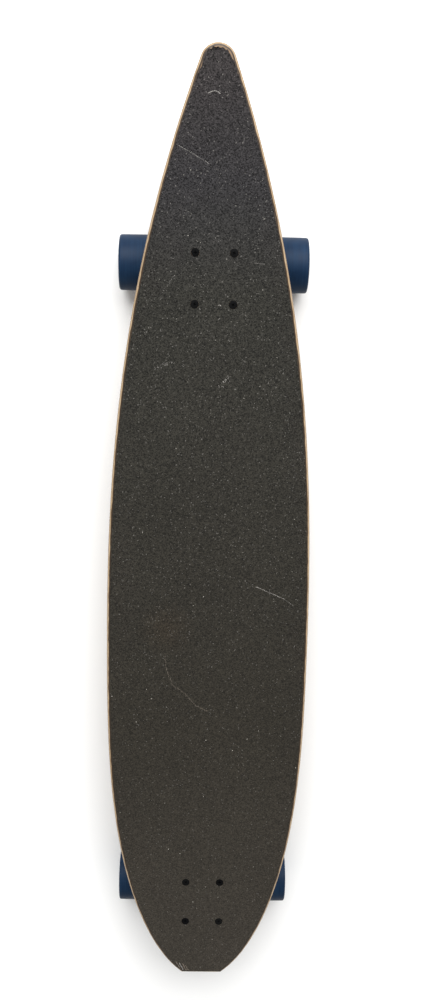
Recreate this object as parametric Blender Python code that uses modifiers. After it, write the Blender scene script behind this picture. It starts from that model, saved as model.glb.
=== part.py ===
import bmesh
import bpy
import math
from mathutils import Matrix

# Pintail longboard skateboard. Metres, +Z up, tail towards +Y, wheels standing on z = 0.

# Gap left wherever two pieces touch
GAP = 0.0003

# Deck, measured along its length from the widest point
DECK_LENGTH = 1.087
DECK_WIDTH = 0.232
DECK_THICKNESS = 0.011
RAIL_RADIUS = 0.004
NOSE_LENGTH = 0.4085
NOSE_FLAT = 0.0484
NOSE_POWER = 2.62
NOSE_FULLNESS = 1.78
TAIL_POWER = 2.5
TIP_RADIUS = 0.019
GRIP_THICKNESS = 0.0009
GRIP_INSET = 0.003

# Where the trucks sit, by the centres of their bolt patterns
NOSE_OVERHANG = 0.101
WHEELBASE = 0.750
BOLT_SPACING_X = 0.041275
BOLT_SPACING_Y = 0.053975

# Deck bolts and lock nuts
BOLT_RADIUS = 0.0024
BOLT_HEAD_RADIUS = 0.0046
BOLT_HEAD_RIM = 0.0004
BOLT_END = 0.0015
LOCK_NUT_FLATS = 0.0095
LOCK_NUT_HEIGHT = 0.0055

# Riser pad and baseplate
RISER_LENGTH = 0.082
RISER_WIDTH = 0.060
RISER_THICKNESS = 0.003
FLANGE_LENGTH = 0.080
FLANGE_WIDTH = 0.058
FLANGE_THICKNESS = 0.006
FLANGE_CORNER = 0.009
TOWER_INNER = 0.031
TOWER_EDGE = 0.0015
TOWER_RIM = 0.005
TOWER_HOLLOW = 0.0035
SEAT_BOSS_RADIUS = 0.0145
SEAT_DEPTH = 0.012

# Steering geometry, in the plane across the middle of a truck
TRUCK_HEIGHT = 0.064
AXLE_OUTSET = 0.013
STEER_ANGLE = math.radians(42)
AXLE_BACK = 0.028
RAKE = 0.010

# Pivot nose, pivot cup and the tower that holds the cup
PIVOT_REACH = 0.050
PIVOT_RADIUS = 0.0059
PIVOT_NECK_RADIUS = 0.0095
CUP_WALL = 0.0018
CUP_FLOOR = 0.002
CUP_DEPTH = 0.0077
HOUSING_WALL = 0.0027
HOUSING_FLOOR = 0.0044

# Kingpin, its washers and bushings
KINGPIN_RADIUS = 0.00476
KINGPIN_FLATS = 0.0143
KINGPIN_HEAD = 0.006
KINGPIN_NUT = 0.0085
KINGPIN_END = 0.002
HEAD_CLEARANCE = 0.0006
WASHER_THICKNESS = 0.0016
WASHER_LIP = 0.0011
WASHER_LIP_WIDTH = 0.0009
BUSHING_RADIUS = 0.0122
BUSHING_EDGE = 0.001
BOARDSIDE_HEIGHT = 0.015
ROADSIDE_HEIGHT = 0.013
ROADSIDE_END_RADIUS = 0.0095

# Hanger
RING_RADIUS = 0.016
RING_THICKNESS = 0.008
RING_SEAT_DEPTH = 0.0015
RING_SEAT_CLEARANCE = 0.0008
RING_HOLE_CLEARANCE = 0.0022
NECK_WIDTH = 0.026
NECK_WAIST = 0.040
NECK_SPREAD = 0.080
NECK_DEPTH = 0.014
BAR_RADIUS = 0.012
BAR_END_RADIUS = 0.0094
BAR_SHOULDER = 0.030
HANGER_WIDTH = 0.1445
SPEED_WASHER_RADIUS = 0.0056
SPEED_WASHER = 0.0009

# Axle, bearings and wheels
AXLE_RADIUS = 0.004
AXLE_END = 0.001
AXLE_NUT_FLATS = 0.0127
AXLE_NUT_HEIGHT = 0.0055
BEARING_RADIUS = 0.011
BEARING_WIDTH = 0.007
BEARING_RACE = 0.0018
BEARING_SHIELD_DEPTH = 0.0005
SPACER_LENGTH = 0.0097
SPACER_WALL = 0.0011
WHEEL_RADIUS = 0.031
WHEEL_WIDTH = 0.051
WHEEL_LIP = 0.0025
WHEEL_RECESS = 0.0080
WHEEL_FACE_RADIUS = 0.0195
WHEEL_FLOOR_RADIUS = 0.0142
WHEEL_WEB_RADIUS = 0.0098

# Sides of the round pieces
WHEEL_SIDES = 24
SMALL_SIDES = 16
BEARING_SIDES = 12
DRILL_SIDES = 10


def linear(hex_colour):
    channels = []
    for shift in (16, 8, 0):
        value = ((hex_colour >> shift) & 255) / 255
        channels.append(value / 12.92 if value < 0.04045 else ((value + 0.055) / 1.055) ** 2.4)
    return (*channels, 1)


def look(name, hex_colour, roughness, metallic=0):
    material = bpy.data.materials.new(name)
    material.use_nodes = True
    shader = material.node_tree.nodes["Principled BSDF"]
    shader.inputs["Base Color"].default_value = linear(hex_colour)
    shader.inputs["Roughness"].default_value = roughness
    shader.inputs["Metallic"].default_value = metallic
    return material


def put(name, mesh, material, parent=None, location=(0, 0, 0), rotation=(0, 0, 0)):
    obj = bpy.data.objects.new(name, mesh)
    parts.objects.link(obj)
    mesh.materials.append(material)
    obj.parent = parent
    obj.location = location
    obj.rotation_euler = rotation
    return obj


def helper(name, mesh, parent=None, location=(0, 0, 0), rotation=(0, 0, 0)):
    # a cutter, or a piece of a cast shape that a union joins on
    obj = bpy.data.objects.new(name, mesh)
    cutters.objects.link(obj)
    obj.parent = parent
    obj.location = location
    obj.rotation_euler = rotation
    obj.hide_render = True
    obj.display_type = "WIRE"
    return obj


def frame(name, parent, location, rotation=(0, 0, 0)):
    empty = bpy.data.objects.new(name, None)
    parts.objects.link(empty)
    empty.parent = parent
    empty.location = location
    empty.rotation_euler = rotation
    return empty


def boolean(obj, other, operation):
    modifier = obj.modifiers.new(other.name, "BOOLEAN")
    modifier.operation = operation
    modifier.object = other
    modifier.solver = "EXACT"


def smooth(mesh):
    mesh.shade_smooth()
    mesh.set_sharp_from_angle(angle=math.radians(35))


def bore(radius, sides, clearance=GAP):
    # corner radius of a faceted hole whose flats clear a round shaft
    return (radius + clearance) / math.cos(math.pi / sides)


def rod(name, radius, start, end, sides, end_radius=None):
    mesh = bpy.data.meshes.new(name)
    bm = bmesh.new()
    bmesh.ops.create_cone(
        bm,
        cap_ends=True,
        segments=sides,
        radius1=radius,
        radius2=radius if end_radius is None else end_radius,
        depth=end - start,
        matrix=Matrix.Translation((0, 0, (start + end) / 2)),
    )
    bm.to_mesh(mesh)
    bm.free()
    return mesh


def hexagon(name, flats, start, end):
    return rod(name, flats / math.sqrt(3), start, end, 6)


def profile_mesh(name, profile, sides, ring):
    # one profile, half a step round so that a flat faces along X
    mesh = bpy.data.meshes.new(name)
    turn = math.pi / sides
    points = [(r * math.cos(turn), r * math.sin(turn), z) for r, z in profile]
    edges = [(i, i + 1) for i in range(len(points) - 1)]
    if ring:
        edges.append((len(points) - 1, 0))
    mesh.from_pydata(points, edges, [])
    return mesh


def turn(obj, sides):
    modifier = obj.modifiers.new("turn", "SCREW")
    modifier.axis = "Z"
    modifier.angle = math.tau
    modifier.steps = sides
    modifier.render_steps = sides
    modifier.use_merge_vertices = True
    modifier.merge_threshold = 0.00001
    modifier.use_smooth_shade = False
    return obj


def slab(name, points, thickness, rail=0, inset=0):
    # a flat outline, lying on z = 0 and as thick as asked, with rounded rails
    curve = bpy.data.curves.new(name, "CURVE")
    curve.dimensions = "2D"
    curve.fill_mode = "BOTH"
    curve.extrude = thickness / 2 - rail
    curve.bevel_depth = rail
    curve.bevel_resolution = 1
    curve.offset = -rail - inset
    spline = curve.splines.new("POLY")
    spline.points.add(len(points) - 1)
    for point, (x, y) in zip(spline.points, points):
        point.co = (x, y, 0, 1)
    spline.use_cyclic_u = True
    drawn = bpy.data.objects.new(name, curve)
    parts.objects.link(drawn)
    bpy.context.view_layer.update()
    graph = bpy.context.evaluated_depsgraph_get()
    mesh = bpy.data.meshes.new_from_object(drawn.evaluated_get(graph))
    bpy.data.objects.remove(drawn, do_unlink=True)
    bm = bmesh.new()
    bm.from_mesh(mesh)
    bmesh.ops.remove_doubles(bm, verts=bm.verts, dist=0.00002)
    bmesh.ops.dissolve_limit(bm, angle_limit=0.001, verts=bm.verts, edges=bm.edges)
    bmesh.ops.recalc_face_normals(bm, faces=bm.faces)
    bmesh.ops.translate(bm, verts=bm.verts, vec=(0, 0, thickness / 2))
    bm.to_mesh(mesh)
    bm.free()
    return mesh


def rounded_rectangle(width, length, corner, steps=4):
    points = []
    for quarter in range(4):
        sign_x = 1 if quarter in (0, 3) else -1
        sign_y = 1 if quarter in (0, 1) else -1
        for step in range(steps + 1):
            angle = (quarter + step / steps) * math.pi / 2
            x = sign_x * (width / 2 - corner) + corner * math.cos(angle)
            y = sign_y * (length / 2 - corner) + corner * math.sin(angle)
            points.append((x, y))
    return points


def arc(centre, radius, first, last, steps):
    angles = [math.radians(first + (last - first) * i / steps) for i in range(steps + 1)]
    return [(centre[0] + radius * math.cos(a), centre[1] + radius * math.sin(a)) for a in angles]


# Deck outline. The nose is a superellipse cut off straight, the tail a power curve closed by an arc.


def bisect(test, low, high):
    for _ in range(60):
        middle = (low + high) / 2
        if test(middle):
            low = middle
        else:
            high = middle
    return low


def tail_half(distance, reach):
    return DECK_WIDTH / 2 * (1 - (distance / reach) ** TAIL_POWER)


def tail_slope(distance, reach):
    return -DECK_WIDTH / 2 * TAIL_POWER / reach * (distance / reach) ** (TAIL_POWER - 1)


def tip_join(reach):
    # the side's normal reaches the centre line in one tip radius where the arc takes over
    def too_wide(distance):
        across = tail_half(distance, reach)
        return across * math.hypot(1, tail_slope(distance, reach)) > TIP_RADIUS

    return bisect(too_wide, 0, reach)


def tip_centre(reach):
    join = tip_join(reach)
    return join + tail_half(join, reach) * tail_slope(join, reach)


def deck_outline(nose_steps=12, tail_steps=12, tip_steps=4):
    tail_length = DECK_LENGTH - NOSE_LENGTH
    short = lambda reach: tip_centre(reach) + TIP_RADIUS < tail_length
    reach = bisect(short, tail_length / 2, tail_length * 2)
    nose_reach = NOSE_LENGTH / (1 - (NOSE_FLAT / DECK_WIDTH) ** NOSE_FULLNESS) ** (1 / NOSE_POWER)
    widest = NOSE_LENGTH - DECK_LENGTH / 2
    side = []
    for step in range(nose_steps):
        distance = NOSE_LENGTH * math.cos(math.pi / 2 * step / nose_steps)
        across = DECK_WIDTH / 2 * (1 - (distance / nose_reach) ** NOSE_POWER) ** (1 / NOSE_FULLNESS)
        side.append((across, widest - distance))
    join = tip_join(reach)
    for step in range(tail_steps):
        distance = join * step / tail_steps
        side.append((tail_half(distance, reach), widest + distance))
    centre = tip_centre(reach)
    start = math.degrees(math.atan2(join - centre, tail_half(join, reach)))
    side += arc((0, widest + centre), TIP_RADIUS, start, 90, tip_steps)
    return side + [(-x, y) for x, y in reversed(side[:-1])]


for old in list(bpy.data.objects):
    bpy.data.objects.remove(old, do_unlink=True)

parts = bpy.data.collections.new("pintail_longboard")
cutters = bpy.data.collections.new("cutters")
bpy.context.scene.collection.children.link(parts)
bpy.context.scene.collection.children.link(cutters)

maple = look("maple_ply", 0xD6BC9F, 0.45)
grit = look("grip_tape", 0x403E3C, 0.95)
urethane = look("blue_urethane", 0x2E4260, 0.35)
cast = look("cast_aluminium", 0xB4B6B8, 0.4, 1)
steel = look("zinc_steel", 0xA8A9AA, 0.35, 1)
black_steel = look("black_steel", 0x17171A, 0.45, 1)
bearing_steel = look("bearing_steel", 0xC4C5C6, 0.25, 1)
rubber = look("black_rubber", 0x1C1C1D, 0.8)
bushing_urethane = look("bushing_urethane", 0x2A2A2C, 0.5)
pivot_plastic = look("pivot_plastic", 0x222224, 0.6)

# Heights, from the ground up; a truck's own frame has z = 0 on its mounting face
MOUNT_Z = WHEEL_RADIUS + TRUCK_HEIGHT
RISER_BOTTOM = GAP
DECK_BOTTOM = RISER_BOTTOM + RISER_THICKNESS + GAP
DECK_TOP = DECK_BOTTOM + DECK_THICKNESS
GRIP_BOTTOM = DECK_TOP + GAP
GRIP_TOP = GRIP_BOTTOM + GRIP_THICKNESS
FLANGE_BOTTOM = -FLANGE_THICKNESS

# Along a deck bolt
HEAD_TOP = GRIP_TOP - GAP
CONE_TOP = HEAD_TOP - BOLT_HEAD_RIM
CONE_BOTTOM = CONE_TOP - (BOLT_HEAD_RADIUS - BOLT_RADIUS)
LOCK_NUT_TOP = FLANGE_BOTTOM - GAP
LOCK_NUT_BOTTOM = LOCK_NUT_TOP - LOCK_NUT_HEIGHT
BOLT_BOTTOM = LOCK_NUT_BOTTOM - BOLT_END

# Along the kingpin, up from the middle of the hanger ring
RING_FLOOR = RING_THICKNESS / 2 - RING_SEAT_DEPTH
BOARDSIDE_LOW = RING_FLOOR + GAP
BOARDSIDE_HIGH = BOARDSIDE_LOW + BOARDSIDE_HEIGHT
BOARD_WASHER_LOW = BOARDSIDE_HIGH + GAP
SEAT_LEVEL = BOARD_WASHER_LOW + WASHER_THICKNESS + GAP
HEAD_LEVEL = SEAT_LEVEL + SEAT_DEPTH
ROADSIDE_HIGH = -RING_FLOOR - GAP
ROADSIDE_LOW = ROADSIDE_HIGH - ROADSIDE_HEIGHT
ROAD_WASHER_HIGH = ROADSIDE_LOW - GAP
KINGPIN_NUT_TOP = ROAD_WASHER_HIGH - WASHER_THICKNESS - GAP
KINGPIN_NUT_BOTTOM = KINGPIN_NUT_TOP - KINGPIN_NUT
KINGPIN_BOTTOM = KINGPIN_NUT_BOTTOM - KINGPIN_END
WASHER_RADIUS = BUSHING_RADIUS + GAP + WASHER_LIP_WIDTH
ROAD_WASHER_RADIUS = ROADSIDE_END_RADIUS + BUSHING_EDGE + GAP + WASHER_LIP_WIDTH
PIN_HOLE = bore(KINGPIN_RADIUS, SMALL_SIDES)
HEAD_ROOM = bore(KINGPIN_FLATS / math.sqrt(3), SMALL_SIDES, HEAD_CLEARANCE)

# Along the steering axis, from the middle of the ring to the pivot
CUP_MOUTH = PIVOT_REACH - CUP_DEPTH
CUP_INSIDE = bore(PIVOT_RADIUS, SMALL_SIDES)
CUP_OUTSIDE = CUP_INSIDE + CUP_WALL
CUP_END = PIVOT_REACH + GAP + CUP_FLOOR
CUP_POCKET = bore(CUP_OUTSIDE, SMALL_SIDES)
HOUSING_RADIUS = CUP_POCKET + HOUSING_WALL
HOUSING_END = CUP_END + GAP + HOUSING_FLOOR

# Along the axle, outwards from the middle of the board
HANGER_FACE = HANGER_WIDTH / 2
WASHER_FACE = HANGER_FACE + SPEED_WASHER
INNER_BEARING = WASHER_FACE + GAP
SPACER_START = INNER_BEARING + BEARING_WIDTH + GAP
OUTER_BEARING = SPACER_START + SPACER_LENGTH + GAP
NUT_START = OUTER_BEARING + BEARING_WIDTH + GAP
NUT_END = NUT_START + SPEED_WASHER + AXLE_NUT_HEIGHT
AXLE_TIP = NUT_END + AXLE_END
WHEEL_OUTER = OUTER_BEARING + BEARING_WIDTH + WHEEL_RECESS
WHEEL_MIDDLE = WHEEL_OUTER - WHEEL_WIDTH / 2

front_y = -DECK_LENGTH / 2 + NOSE_OVERHANG
trucks = (("front", front_y, math.pi), ("rear", front_y + WHEELBASE, 0))
bolt_places = []
for row, sign_y in (("outer", 1), ("inner", -1)):
    for sign_x in (1, -1):
        bolt_places.append((row, sign_x, sign_x * BOLT_SPACING_X / 2, sign_y * BOLT_SPACING_Y / 2))

outline = deck_outline()
deck = put("deck", slab("deck", outline, DECK_THICKNESS, RAIL_RADIUS), maple)
deck.location.z = MOUNT_Z + DECK_BOTTOM
grip = put("grip_tape", slab("grip_tape", outline, GRIP_THICKNESS, 0, GRIP_INSET), grit)
grip.location.z = MOUNT_Z + GRIP_BOTTOM

ring_y = AXLE_OUTSET + AXLE_BACK * math.cos(STEER_ANGLE) - RAKE * math.sin(STEER_ANGLE)
ring_z = -TRUCK_HEIGHT + AXLE_BACK * math.sin(STEER_ANGLE) + RAKE * math.cos(STEER_ANGLE)


# Stands an outline up in the steering plane, its thickness along X
SIDEWAYS = Matrix(((0, 0, 1, 0), (1, 0, 0, 0), (0, 1, 0, 0), (0, 0, 0, 1)))


def on_truck(along, up):
    # a point of the steering plane: along the steering axis and up the kingpin from the ring
    y = ring_y + along * math.cos(STEER_ANGLE) - up * math.sin(STEER_ANGLE)
    z = ring_z + along * math.sin(STEER_ANGLE) + up * math.cos(STEER_ANGLE)
    return y, z


def drill_mesh(name):
    # four countersunk drills, each as a bolt with its clearance
    above = GRIP_TOP + 0.005
    below = BOLT_BOTTOM - 0.005
    head = bore(BOLT_HEAD_RADIUS, DRILL_SIDES)
    shank = bore(BOLT_RADIUS, DRILL_SIDES)
    bm = bmesh.new()
    for row, sign_x, x, y in bolt_places:
        levels = ((above, head), (CONE_TOP, head), (CONE_BOTTOM, shank), (below, shank))
        loops = []
        for z, radius in levels:
            angles = [math.tau * i / DRILL_SIDES for i in range(DRILL_SIDES)]
            loops.append(
                [bm.verts.new((x + radius * math.cos(a), y + radius * math.sin(a), z)) for a in angles]
            )
        bm.faces.new(loops[0])
        bm.faces.new(list(reversed(loops[-1])))
        for high, low in zip(loops, loops[1:]):
            for i in range(DRILL_SIDES):
                j = (i + 1) % DRILL_SIDES
                bm.faces.new((high[i], low[i], low[j], high[j]))
    mesh = bpy.data.meshes.new(name)
    bm.to_mesh(mesh)
    bm.free()
    return mesh


def tower_mesh(name):
    # side view of the wedge and the pivot tower, as wide as the cup housing
    slope = math.tan(STEER_ANGLE)
    seat_y, seat_z = on_truck(0, SEAT_LEVEL)
    root = FLANGE_BOTTOM / 2
    points = [
        (-TOWER_INNER, root),
        (seat_y + (root - seat_z) / slope, root),
        on_truck(-SEAT_BOSS_RADIUS, SEAT_LEVEL),
        on_truck(-CUP_MOUTH, HOUSING_RADIUS),
        on_truck(-CUP_MOUTH - GAP, 0),
        on_truck(-HOUSING_END + HOUSING_FLOOR, 0),
        on_truck(-HOUSING_END + HOUSING_WALL, HOUSING_RADIUS),
    ]
    mesh = slab(name, points, 2 * HOUSING_RADIUS)
    mesh.transform(Matrix.Translation((-HOUSING_RADIUS, 0, 0)) @ SIDEWAYS)
    return mesh


def trimmed(points, first, second, margin):
    # what is left of a convex outline more than the margin to the left of the way from first to second
    run = math.dist(first, second)
    left = ((first[1] - second[1]) / run, (second[0] - first[0]) / run)
    depth = [(y - first[0]) * left[0] + (z - first[1]) * left[1] - margin for y, z in points]
    kept = []
    for i in range(len(points)):
        j = (i + 1) % len(points)
        if depth[i] >= 0:
            kept.append(points[i])
        if depth[i] * depth[j] < 0:
            share = depth[i] / (depth[i] - depth[j])
            kept.append(tuple(p + (q - p) * share for p, q in zip(points[i], points[j])))
    return kept


def hollow_mesh(name, sign_x):
    # the tower's side less a rim, clear of the kingpin's head and of the cup housing
    high = FLANGE_BOTTOM - TOWER_RIM / 2
    head = -HEAD_ROOM - TOWER_RIM / 2
    low = HOUSING_RADIUS + TOWER_RIM
    back = on_truck(-HOUSING_END + HOUSING_WALL, HOUSING_RADIUS)
    mouth = on_truck(-CUP_MOUTH, HOUSING_RADIUS)
    sides = [
        ((-TOWER_INNER, FLANGE_BOTTOM / 2), back, TOWER_RIM),
        (mouth, on_truck(-SEAT_BOSS_RADIUS, SEAT_LEVEL), TOWER_RIM),
        ((TRUCK_HEIGHT, high), (-TRUCK_HEIGHT, high), 0),
        (on_truck(head, SEAT_LEVEL), on_truck(head, HEAD_LEVEL), 0),
        (on_truck(-HOUSING_END, low), on_truck(0, low), 0),
    ]
    far = 2 * TRUCK_HEIGHT
    points = [(-far, -far), (far, -far), (far, far), (-far, far)]
    for first, second, margin in sides:
        points = trimmed(points, first, second, margin)
    mesh = slab(name, points, 2 * TOWER_HOLLOW)
    mesh.transform(Matrix.Translation((sign_x * HOUSING_RADIUS - TOWER_HOLLOW, 0, 0)) @ SIDEWAYS)
    return mesh


def neck_mesh(name):
    # joins the ring to the cross bar, flaring and dropping by the rake on the way
    root = RING_RADIUS / 3
    sections = [
        (-root, NECK_WIDTH, RING_THICKNESS, 0),
        (-(root + AXLE_BACK) / 2, NECK_WAIST, (RING_THICKNESS + NECK_DEPTH) / 2, RAKE / 2),
        (-AXLE_BACK, NECK_SPREAD, NECK_DEPTH, RAKE),
    ]
    bm = bmesh.new()
    loops = []
    for y, width, depth, drop in sections:
        corners = ((-1, -1), (1, -1), (1, 1), (-1, 1))
        loops.append([bm.verts.new((x * width / 2, y, z * depth / 2 - drop)) for x, z in corners])
    for near, far in zip(loops, loops[1:]):
        for i in range(4):
            j = (i + 1) % 4
            bm.faces.new((near[i], near[j], far[j], far[i]))
    bm.faces.new(loops[0])
    bm.faces.new(loops[-1])
    bmesh.ops.recalc_face_normals(bm, faces=bm.faces)
    mesh = bpy.data.meshes.new(name)
    bm.to_mesh(mesh)
    bm.free()
    return mesh


def wheel_profile():
    middle = WHEEL_WIDTH / 2
    flat = 1 / math.cos(math.pi / WHEEL_SIDES)
    corner = WHEEL_RADIUS * flat - WHEEL_LIP
    pocket = bore(BEARING_RADIUS, WHEEL_SIDES)
    inner_low = INNER_BEARING - WHEEL_MIDDLE
    inner_high = inner_low + BEARING_WIDTH + GAP
    outer_low = OUTER_BEARING - WHEEL_MIDDLE - GAP
    outer_high = outer_low + BEARING_WIDTH + GAP
    points = [(WHEEL_FACE_RADIUS, middle)]
    points += arc((corner, middle - WHEEL_LIP), WHEEL_LIP, 90, 0, 2)
    points += arc((corner, WHEEL_LIP - middle), WHEEL_LIP, 0, -90, 2)
    points += [
        (WHEEL_FACE_RADIUS, -middle),
        (WHEEL_FLOOR_RADIUS, inner_low),
        (pocket, inner_low),
        (pocket, inner_high),
        (WHEEL_WEB_RADIUS, inner_high),
        (WHEEL_WEB_RADIUS, outer_low),
        (pocket, outer_low),
        (pocket, outer_high),
        (WHEEL_FLOOR_RADIUS, outer_high),
    ]
    return points


def washer_profile(radius, flat_side, lip_side):
    # cup washer: a flat disc with a lip round its rim
    lip_end = lip_side + math.copysign(WASHER_LIP, lip_side - flat_side)
    lip_inside = radius - WASHER_LIP_WIDTH
    points = [
        (radius, flat_side),
        (radius, lip_end),
        (lip_inside, lip_end),
        (lip_inside, lip_side),
        (PIN_HOLE, lip_side),
        (PIN_HOLE, flat_side),
    ]
    return points if flat_side > lip_side else list(reversed(points))


def bearing_profile():
    # shielded ball bearing, its shield sunk on the side away from the spacer
    hole = bore(AXLE_RADIUS, BEARING_SIDES)
    shield_out = BEARING_RADIUS - BEARING_RACE
    shield_in = hole + BEARING_RACE
    sunk = BEARING_WIDTH - BEARING_SHIELD_DEPTH
    return [
        (shield_out, sunk),
        (shield_out, BEARING_WIDTH),
        (BEARING_RADIUS, BEARING_WIDTH),
        (BEARING_RADIUS, 0),
        (hole, 0),
        (hole, BEARING_WIDTH),
        (shield_in, BEARING_WIDTH),
        (shield_in, sunk),
    ]


def bar_profile():
    half = [
        (0, WASHER_FACE),
        (SPEED_WASHER_RADIUS, WASHER_FACE),
        (SPEED_WASHER_RADIUS, HANGER_FACE),
        (BAR_END_RADIUS - BUSHING_EDGE, HANGER_FACE),
        (BAR_END_RADIUS, HANGER_FACE - BUSHING_EDGE),
        (BAR_RADIUS, BAR_SHOULDER),
    ]
    return half + [(r, -z) for r, z in reversed(half)]


def nose_profile():
    tip = arc((0, PIVOT_REACH - PIVOT_RADIUS), PIVOT_RADIUS, 90, 0, 3)
    tip[0] = (0, PIVOT_REACH)
    root = AXLE_BACK - RAKE
    return tip + [
        (PIVOT_RADIUS, CUP_MOUTH - CUP_WALL),
        (PIVOT_NECK_RADIUS, AXLE_BACK),
        (PIVOT_NECK_RADIUS, root),
        (0, root),
    ]


def cup_profile():
    inside = arc((0, PIVOT_REACH - PIVOT_RADIUS), CUP_INSIDE, 0, 90, 3)
    inside[-1] = (0, PIVOT_REACH - PIVOT_RADIUS + CUP_INSIDE)
    floor = inside[-1][1] + CUP_FLOOR - (CUP_INSIDE - PIVOT_RADIUS - GAP)
    return [(0, floor), (CUP_OUTSIDE, floor), (CUP_OUTSIDE, CUP_MOUTH), (CUP_INSIDE, CUP_MOUTH)] + inside


def build_truck(end, y, turned):
    def turned_part(name, profile, sides, material, location, rotation, ring=True):
        obj = put(name, profile_mesh(name, profile, sides, ring), material, base, location, rotation)
        return turn(obj, sides)

    def turned_helper(name, profile, sides, location, rotation, ring=True):
        obj = helper(name, profile_mesh(name, profile, sides, ring), base, location, rotation)
        return turn(obj, sides)

    base = frame(end + "_truck_frame", None, (0, y, MOUNT_Z), (0, 0, turned))
    ring = (0, ring_y, ring_z)
    pin = (STEER_ANGLE, 0, 0)
    pivot = (STEER_ANGLE + math.pi / 2, 0, 0)
    axle_place = (0, AXLE_OUTSET, -TRUCK_HEIGHT)
    across = (0, math.pi / 2, 0)

    drill = helper(end + "_bolt_drills", drill_mesh(end + "_bolt_drills"), base)
    boolean(deck, drill, "DIFFERENCE")
    boolean(grip, drill, "DIFFERENCE")

    shape = rounded_rectangle(RISER_WIDTH, RISER_LENGTH, FLANGE_CORNER)
    riser = put(end + "_riser_pad", slab("riser_pad", shape, RISER_THICKNESS), rubber, base)
    riser.location.z = RISER_BOTTOM
    boolean(riser, drill, "DIFFERENCE")

    # baseplate: flange, wedge and tower, kingpin seat boss and cup housing, then the bores
    shape = rounded_rectangle(FLANGE_WIDTH, FLANGE_LENGTH, FLANGE_CORNER)
    plate = put(end + "_baseplate", slab("baseplate", shape, FLANGE_THICKNESS), cast, base)
    plate.location.z = FLANGE_BOTTOM
    tower = helper(end + "_tower", tower_mesh(end + "_tower"), base)
    edge = tower.modifiers.new("edge", "BEVEL")
    edge.width = TOWER_EDGE
    edge.segments = 1
    boss_mesh = rod("boss", SEAT_BOSS_RADIUS, SEAT_LEVEL, HEAD_LEVEL, SMALL_SIDES)
    boss = helper(end + "_seat_boss", boss_mesh, base, ring, pin)
    housing_profile = [
        (0, HOUSING_END),
        (HOUSING_RADIUS - HOUSING_FLOOR, HOUSING_END),
        (HOUSING_RADIUS, HOUSING_END - HOUSING_FLOOR),
        (HOUSING_RADIUS, CUP_MOUTH),
        (0, CUP_MOUTH),
    ]
    housing = turned_helper(end + "_cup_housing", housing_profile, SMALL_SIDES, ring, pivot, False)
    for joined in (tower, boss, housing):
        boolean(plate, joined, "UNION")
    pocket_mesh = rod("pocket", CUP_POCKET, CUP_MOUTH - CUP_DEPTH, CUP_END + GAP, SMALL_SIDES)
    cup_pocket = helper(end + "_cup_pocket", pocket_mesh, base, ring, pivot)
    pin_mesh = rod("pin_drill", PIN_HOLE, KINGPIN_BOTTOM - GAP, HEAD_LEVEL + KINGPIN_HEAD, SMALL_SIDES)
    pin_drill = helper(end + "_pin_drill", pin_mesh, base, ring, pin)
    head_mesh = rod("head_room", HEAD_ROOM, HEAD_LEVEL, HEAD_LEVEL + 2 * TRUCK_HEIGHT, SMALL_SIDES)
    head_room = helper(end + "_head_room", head_mesh, base, ring, pin)
    right_hollow = helper(end + "_right_hollow", hollow_mesh(end + "_right_hollow", 1), base)
    left_hollow = helper(end + "_left_hollow", hollow_mesh(end + "_left_hollow", -1), base)
    for cut in (drill, cup_pocket, pin_drill, head_room, right_hollow, left_hollow):
        boolean(plate, cut, "DIFFERENCE")

    turned_part(end + "_pivot_cup", cup_profile(), SMALL_SIDES, pivot_plastic, ring, pivot, False)

    # kingpin with its hexagon head, and what is stacked on it
    shank_mesh = rod("kingpin", KINGPIN_RADIUS, KINGPIN_BOTTOM, HEAD_LEVEL + KINGPIN_HEAD / 2, SMALL_SIDES)
    kingpin = put(end + "_kingpin", shank_mesh, steel, base, ring, pin)
    head_start = HEAD_LEVEL + GAP
    head = hexagon("kingpin_head", KINGPIN_FLATS, head_start, head_start + KINGPIN_HEAD)
    boolean(kingpin, helper(end + "_kingpin_head", head, base, ring, pin), "UNION")
    nut = hexagon("kingpin_nut", KINGPIN_FLATS, KINGPIN_NUT_BOTTOM, KINGPIN_NUT_TOP)
    boolean(put(end + "_kingpin_nut", nut, steel, base, ring, pin), pin_drill, "DIFFERENCE")
    high = BOARD_WASHER_LOW + WASHER_THICKNESS
    profile = washer_profile(WASHER_RADIUS, high, BOARD_WASHER_LOW)
    turned_part(end + "_boardside_washer", profile, SMALL_SIDES, steel, ring, pin)
    low = ROAD_WASHER_HIGH - WASHER_THICKNESS
    profile = washer_profile(ROAD_WASHER_RADIUS, low, ROAD_WASHER_HIGH)
    turned_part(end + "_roadside_washer", profile, SMALL_SIDES, steel, ring, pin)
    profile = [
        (BUSHING_RADIUS - BUSHING_EDGE, BOARDSIDE_HIGH),
        (BUSHING_RADIUS, BOARDSIDE_HIGH - BUSHING_EDGE),
        (BUSHING_RADIUS, BOARDSIDE_LOW + BUSHING_EDGE),
        (BUSHING_RADIUS - BUSHING_EDGE, BOARDSIDE_LOW),
        (PIN_HOLE, BOARDSIDE_LOW),
        (PIN_HOLE, BOARDSIDE_HIGH),
    ]
    turned_part(end + "_boardside_bushing", profile, SMALL_SIDES, bushing_urethane, ring, pin)
    profile = [
        (BUSHING_RADIUS - BUSHING_EDGE, ROADSIDE_HIGH),
        (BUSHING_RADIUS, ROADSIDE_HIGH - BUSHING_EDGE),
        (ROADSIDE_END_RADIUS, ROADSIDE_LOW),
        (PIN_HOLE, ROADSIDE_LOW),
        (PIN_HOLE, ROADSIDE_HIGH),
    ]
    turned_part(end + "_roadside_bushing", profile, SMALL_SIDES, bushing_urethane, ring, pin)

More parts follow.
